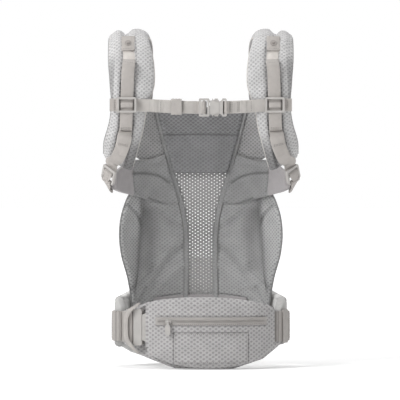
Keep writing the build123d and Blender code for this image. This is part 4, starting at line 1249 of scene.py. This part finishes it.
# Tab from the wing to the ladder lock's lower bar.
tab_points = [at_lock(-8.2, -1.6), at_lock(-8.0, 1.4), at_lock(-11, 3.4), at_lock(-14, 1.6),
              (-146.2, -50.5, 284.5), (-142.5, -40, 282), (-139.0, -27, 281), (-137.8, -18, 281)]
tab_across = [tuple(LOCK_X)] * 4 + [(0.45, -0.5, -0.75), (0.2, -0.4, -0.9), (0, -0.3, -0.95), (0, -0.2, -1)]
tab_l = ribbon("wing_tab_l", tab_points, tab_across, 19.4, 1.5, M_WEB, 80)
both(tab_l, "wing_tab")


def web_row(p, across, out, width, gap=(0,)):
    """Rows of stitches across a webbing at p."""
    runs = []
    p, across, out = np.array(p, float), unit(np.array(across, float)), unit(np.array(out, float))
    down = np.cross(out, across)
    for g in gap:
        a = p - across * width / 2 + down * g
        b = p + across * width / 2 + down * g
        runs.append((np.linspace(a, b, 12), np.tile(out, (12, 1))))
    return runs


front = (0, -1, 0)
rows = []
rows += web_row(rail_at(371, -99.0), (1, 0, -lean), front, 16, (0, 2.2))
rows += web_row(rail_at(474, -99.2), (1, 0, -lean), front, 16, (0,))
rows += web_row((-119.8, -99.6, 345.5), (1, 0, -0.2), (0, -0.95, -0.3), 16, (0, 2.0))
rows += web_row(SNAP_O - SNAP_UP * 10.5 + SNAP_N * 2.3, (1, 0, 0.06), SNAP_N, 17, (0,))
stitch_l = stitches("strap_stitches_l", rows, 2.6, 1.8, 0.28)
mirrored(stitch_l)

# ---- chest strap
WEB_Y = -93.4
MID_Z = 404.0


def chest_z(x):
    """Height of the chest strap, which hangs a little in the middle."""
    return CHEST_Z + (MID_Z - CHEST_Z) * smooth(138 - abs(x), 0, 130)


def chest_line(rows):
    """Points of the chest webbing, from (x, how far it stands out of its plane, z)."""
    return [(x, WEB_Y - proud, z) for x, proud, z in rows]


# The chest webbing's dim stripes are painted shade at the steps of its folds and beside the keeper and the
# buckle.
left_slack = chest_line([
    (-139, 0, 408), (-120, 0, 408), (-96, 0, 407.6), (-76, 0.6, 407), (-70, 1.6, 406.8), (-64, 0.4, 406.4),
    (-57, 0.8, 406), (-42, 0.4, 405.2), (-26, 0, 404.6), (-12, 0, 404.2), (-4, -0.6, 404.1),
])
chest_l = ribbon(
    "chest_webbing_l", left_slack, UP, 19.6, 1.6, M_CHEST, 150, body=None,
    dim=lambda p: stripes(p[0], [(-79, 1.0, 0.3), (-99, 10, 0.1), (-28.6, 1.2, 0.7), (-11, 3, 0.2)]),
    stands_for=("chest_webbing_left",),
)
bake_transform(chest_l)
right_slack = chest_line([
    (33, -0.6, 404.1), (42, 0, 404.3), (50, 0.7, 404.6), (58, 0, 404.9), (66, 0.6, 405.3), (74, 0, 405.8),
    (90, 0, 406.8), (112, 0, 408), (139, 0, 408),
])
ribbon(
    "chest_webbing_r", right_slack, UP, 19.6, 1.6, M_CHEST, 150, body="chest_strap",
    dim=lambda p: stripes(p[0], [(52, 0.8, 0.2), (63, 0.8, 0.25), (69, 0.8, 0.2), (82, 1.0, 0.2)]),
    stands_for=("chest_webbing_right",),
)

# Folded tail of the left half, held by the elastic keeper.
tail = [(-74, -95.2, 406.6), (-70, -96.0, 406.4), (-66, -95.4, 406.2), (-60, -96.2, 406), (-52, -95.6, 405.6),
        (-42, -95.3, 405.2), (-30, -95.4, 404.8), (-27.5, -95.2, 404.7)]
ribbon(
    "chest_tail_l", tail, UP, 19.8, 1.5, M_CHEST, 80, body="chest_strap",
    dim=lambda p: stripes(p[0], [(-71, 0.8, 0.3), (-66, 0.8, 0.4), (-61, 0.8, 0.3), (-28.2, 1.0, 0.5)]),
)
over = [(-58, -97.0, 405.8), (-55, -97.4, 405.7), (-49, -97.2, 405.4), (-45, -97.0, 405.3)]
ribbon("chest_tail_end_l", over, UP, 20.2, 1.5, M_CHEST, 30, body="chest_strap")


def keeper():
    """A flat elastic sleeve round the webbing."""
    xs = np.linspace(-46, -29.5, 24)
    k = round_angles(48)
    cy, cz = WEB_Y - 1.6, 405.2
    verts, uv = [], []
    for wall in (0.0, -0.9):
        for x in xs:
            pinch = 0.25 * math.cos((x + 38) * 1.3)
            for a in k:
                c, s = math.cos(a), math.sin(a)
                y = (3.9 + wall) * math.copysign(abs(c) ** 0.35, c)
                z = (12.4 + wall + pinch) * math.copysign(abs(s) ** 0.45, s)
                verts.append((x, cy + y, cz + z))
                uv.append((z, x))
    around, rings = len(k), len(xs)
    size = around * rings
    outer = tube_faces(rings, around)
    faces = [tuple(f) for f in outer] + [tuple(int(q) + size for q in f[::-1]) for f in outer]
    for ring in (0, (rings - 1) * around):
        for j in range(around):
            j2 = (j + 1) % around
            faces.append((ring + j, ring + j2, ring + j2 + size, ring + j + size))
    make("chest_keeper_sleeve", verts, faces, M_ELASTIC, uv, body="chest_strap", slot="elastic",
         stands_for=("chest_keeper",))


keeper()

# Webbing wrapped round the bars of the chest buckle and the sliders.
ribbon(
    "chest_plug_webbing",
    [(-7, -94.6, 404.2), (-3.4, -95.4, 404.1), (-0.6, -99.0, 404), (1.2, -101.6, 404), (3.4, -102.2, 404),
     (5.6, -101.6, 404), (7.4, -98.6, 404), (8.4, -95.8, 404)],
    UP, 19.4, 1.5, M_WEB, 40, body="chest_plug",
)
ribbon(
    "chest_socket_webbing",
    [(44, -95.2, 404.2), (41.8, -98.4, 404.1), (39.6, -101.2, 404.1), (37.4, -100.6, 404), (36.4, -97.0, 404),
     (35.4, -95.2, 404)],
    UP, 19.2, 1.4, M_WEB, 30, body="chest_strap",
)
for sign, label in ((-1, "l"), (1, "r")):
    x0 = sign * RAIL_X
    ribbon(
        "slider_roll_" + label,
        [(x0, -97.0, 404.2), (x0, -99.4, 403.9), (x0, -101.4, 405.6), (x0, -101.9, 408), (x0, -101.4, 410.4),
         (x0, -99.4, 412.1), (x0, -97.0, 411.8)],
        (1, 0, 0), 18.4, 1.5, M_WEB, 40, body="chest_strap",
    )
    ribbon(
        "slider_stub_" + label,
        [(sign * x, y, CHEST_Z) for x, y in
         ((140.5, -94.9), (136, -95.4), (131, -96.4), (128.4, -99.6), (126.4, -100.8))],
        UP, 19.8, 1.5, M_WEB, 40, body="chest_strap",
    )
chest_rows = []
spots = [(sign * dx, -97.4 + (dx - 131.5) * 0.3) for sign in (-1, 1) for dx in (131.5, 133.5)]
spots += [(dx, WEB_Y - 1.5) for dx in (46, 48.2, 57, 59.2, 71, 78)] + [(dx, -96.9) for dx in (-62, -27.9)]
for dx, y in spots:
    middle = 408.0 if abs(dx) > 130 else chest_z(dx)
    a = np.linspace([dx, y, middle - 8], [dx, y, middle + 8], 10)
    chest_rows.append((a, np.tile([0, -1.0, 0], (10, 1))))
stitches("chest_stitches", chest_rows, 2.6, 1.8, 0.28, body="chest_strap")

# ---- panel stitching
runs = []
wing_line = curve([(-60, 330), (-84, 322), (-106, 320)], 40)
band_line = curve(BAND_OUTER, 120) * 0.86 + curve(BAND_INNER, 120) * 0.14
for line, radius in ((wing_line, 130.4), (band_line, 135.6)):
    p, out = far_place(line[:, 0], line[:, 1], radius)
    runs += [(p, -out), (p * [-1, 1, 1], -out * [-1, 1, 1])]
stitches("panel_stitches", runs, 3.2, 2.0, 0.28, slot="mesh_fabric")


# ---- stage, light, camera
def disc(name, rings, height, material):
    """A round sheet, with a height for each radius in metres."""
    k = round_angles(64)
    verts = [(r * math.cos(a), r * math.sin(a), h) for r, h in zip(rings, height) for a in k]
    mesh = bpy.data.meshes.new(name)
    mesh.from_pydata(verts, [], [tuple(int(i) for i in f) for f in tube_faces(len(rings), 64)])
    mesh.polygons.foreach_set("use_smooth", np.ones(len(mesh.polygons), bool))
    mesh.materials.append(material)
    obj = bpy.data.objects.new(name, mesh)
    bpy.context.scene.collection.objects.link(obj)
    return obj


# The floor gets a little lighter away from the middle, so that it meets the backdrop without an edge.
f = Nodes("floor_white")
length = f.tree.nodes.new("ShaderNodeVectorMath")
length.operation = "LENGTH"
f.put(length.inputs[0], f.object_place())
f.shader.inputs["Emission Color"].default_value = (1, 1, 1, 1)
f.put(f.shader.inputs["Emission Strength"], f.ramp(length.outputs["Value"], 0.7, 3.2, 0.2, 0.75))
pale = f.finish((0.93, 0.93, 0.93, 1), 0.9, specular=0.1)
floor = disc("floor", [0.001, 0.5, 1, 2, 4, 8, 16], [0.0] * 7, pale)
g = Nodes("backdrop_white")
g.shader.inputs["Emission Color"].default_value = (1, 1, 1, 1)
g.shader.inputs["Emission Strength"].default_value = 1.0
turn = np.linspace(0, math.pi / 2 - 0.001, 16)
white = g.finish((0, 0, 0, 1), 1.0, specular=0.0)
backdrop = disc("backdrop", 15.5 * np.cos(turn), 15.5 * np.sin(turn) - 0.2, white)
for part in ("visible_diffuse", "visible_glossy", "visible_transmission", "visible_shadow"):
    setattr(backdrop, part, False)

world = bpy.data.worlds.new("studio")
bpy.context.scene.world = world
world.use_nodes = True
world.node_tree.nodes["Background"].inputs["Color"].default_value = (1, 1, 1, 1)
world.node_tree.nodes["Background"].inputs["Strength"].default_value = 0.5


def area(name, place, target, size, power):
    light = bpy.data.lights.new(name, "AREA")
    light.size = size
    light.energy = power
    obj = bpy.data.objects.new(name, light)
    obj.location = place
    obj.rotation_euler = (Vector(target) - Vector(place)).to_track_quat("-Z", "Y").to_euler()
    bpy.context.scene.collection.objects.link(obj)


area("key", (-1.9, -1.6, 1.7), (0, 0, 0.25), 1.0, 46)
area("fill", (1.8, -1.8, 0.9), (0, 0, 0.3), 1.6, 5)
area("top", (-0.2, 0.1, 2.4), (0, 0, 0.2), 1.4, 24)

camera_data = bpy.data.cameras.new("camera")
camera = bpy.data.objects.new("camera", camera_data)
bpy.context.scene.collection.objects.link(camera)
bpy.context.scene.camera = camera
reach, tilt = 7.5, math.radians(0.8)
aim = Vector((-0.0012, 0.0, 0.2600))
camera.location = aim + Vector((0, -reach * math.cos(tilt), reach * math.sin(tilt)))
camera.rotation_euler = (aim - camera.location).to_track_quat("-Z", "Y").to_euler()
camera_data.sensor_width = 36
VIEW_WIDE = 0.625
camera_data.lens = camera_data.sensor_width * reach / VIEW_WIDE
camera_data.clip_end = 50
bpy.context.scene.view_settings.view_transform = "Standard"
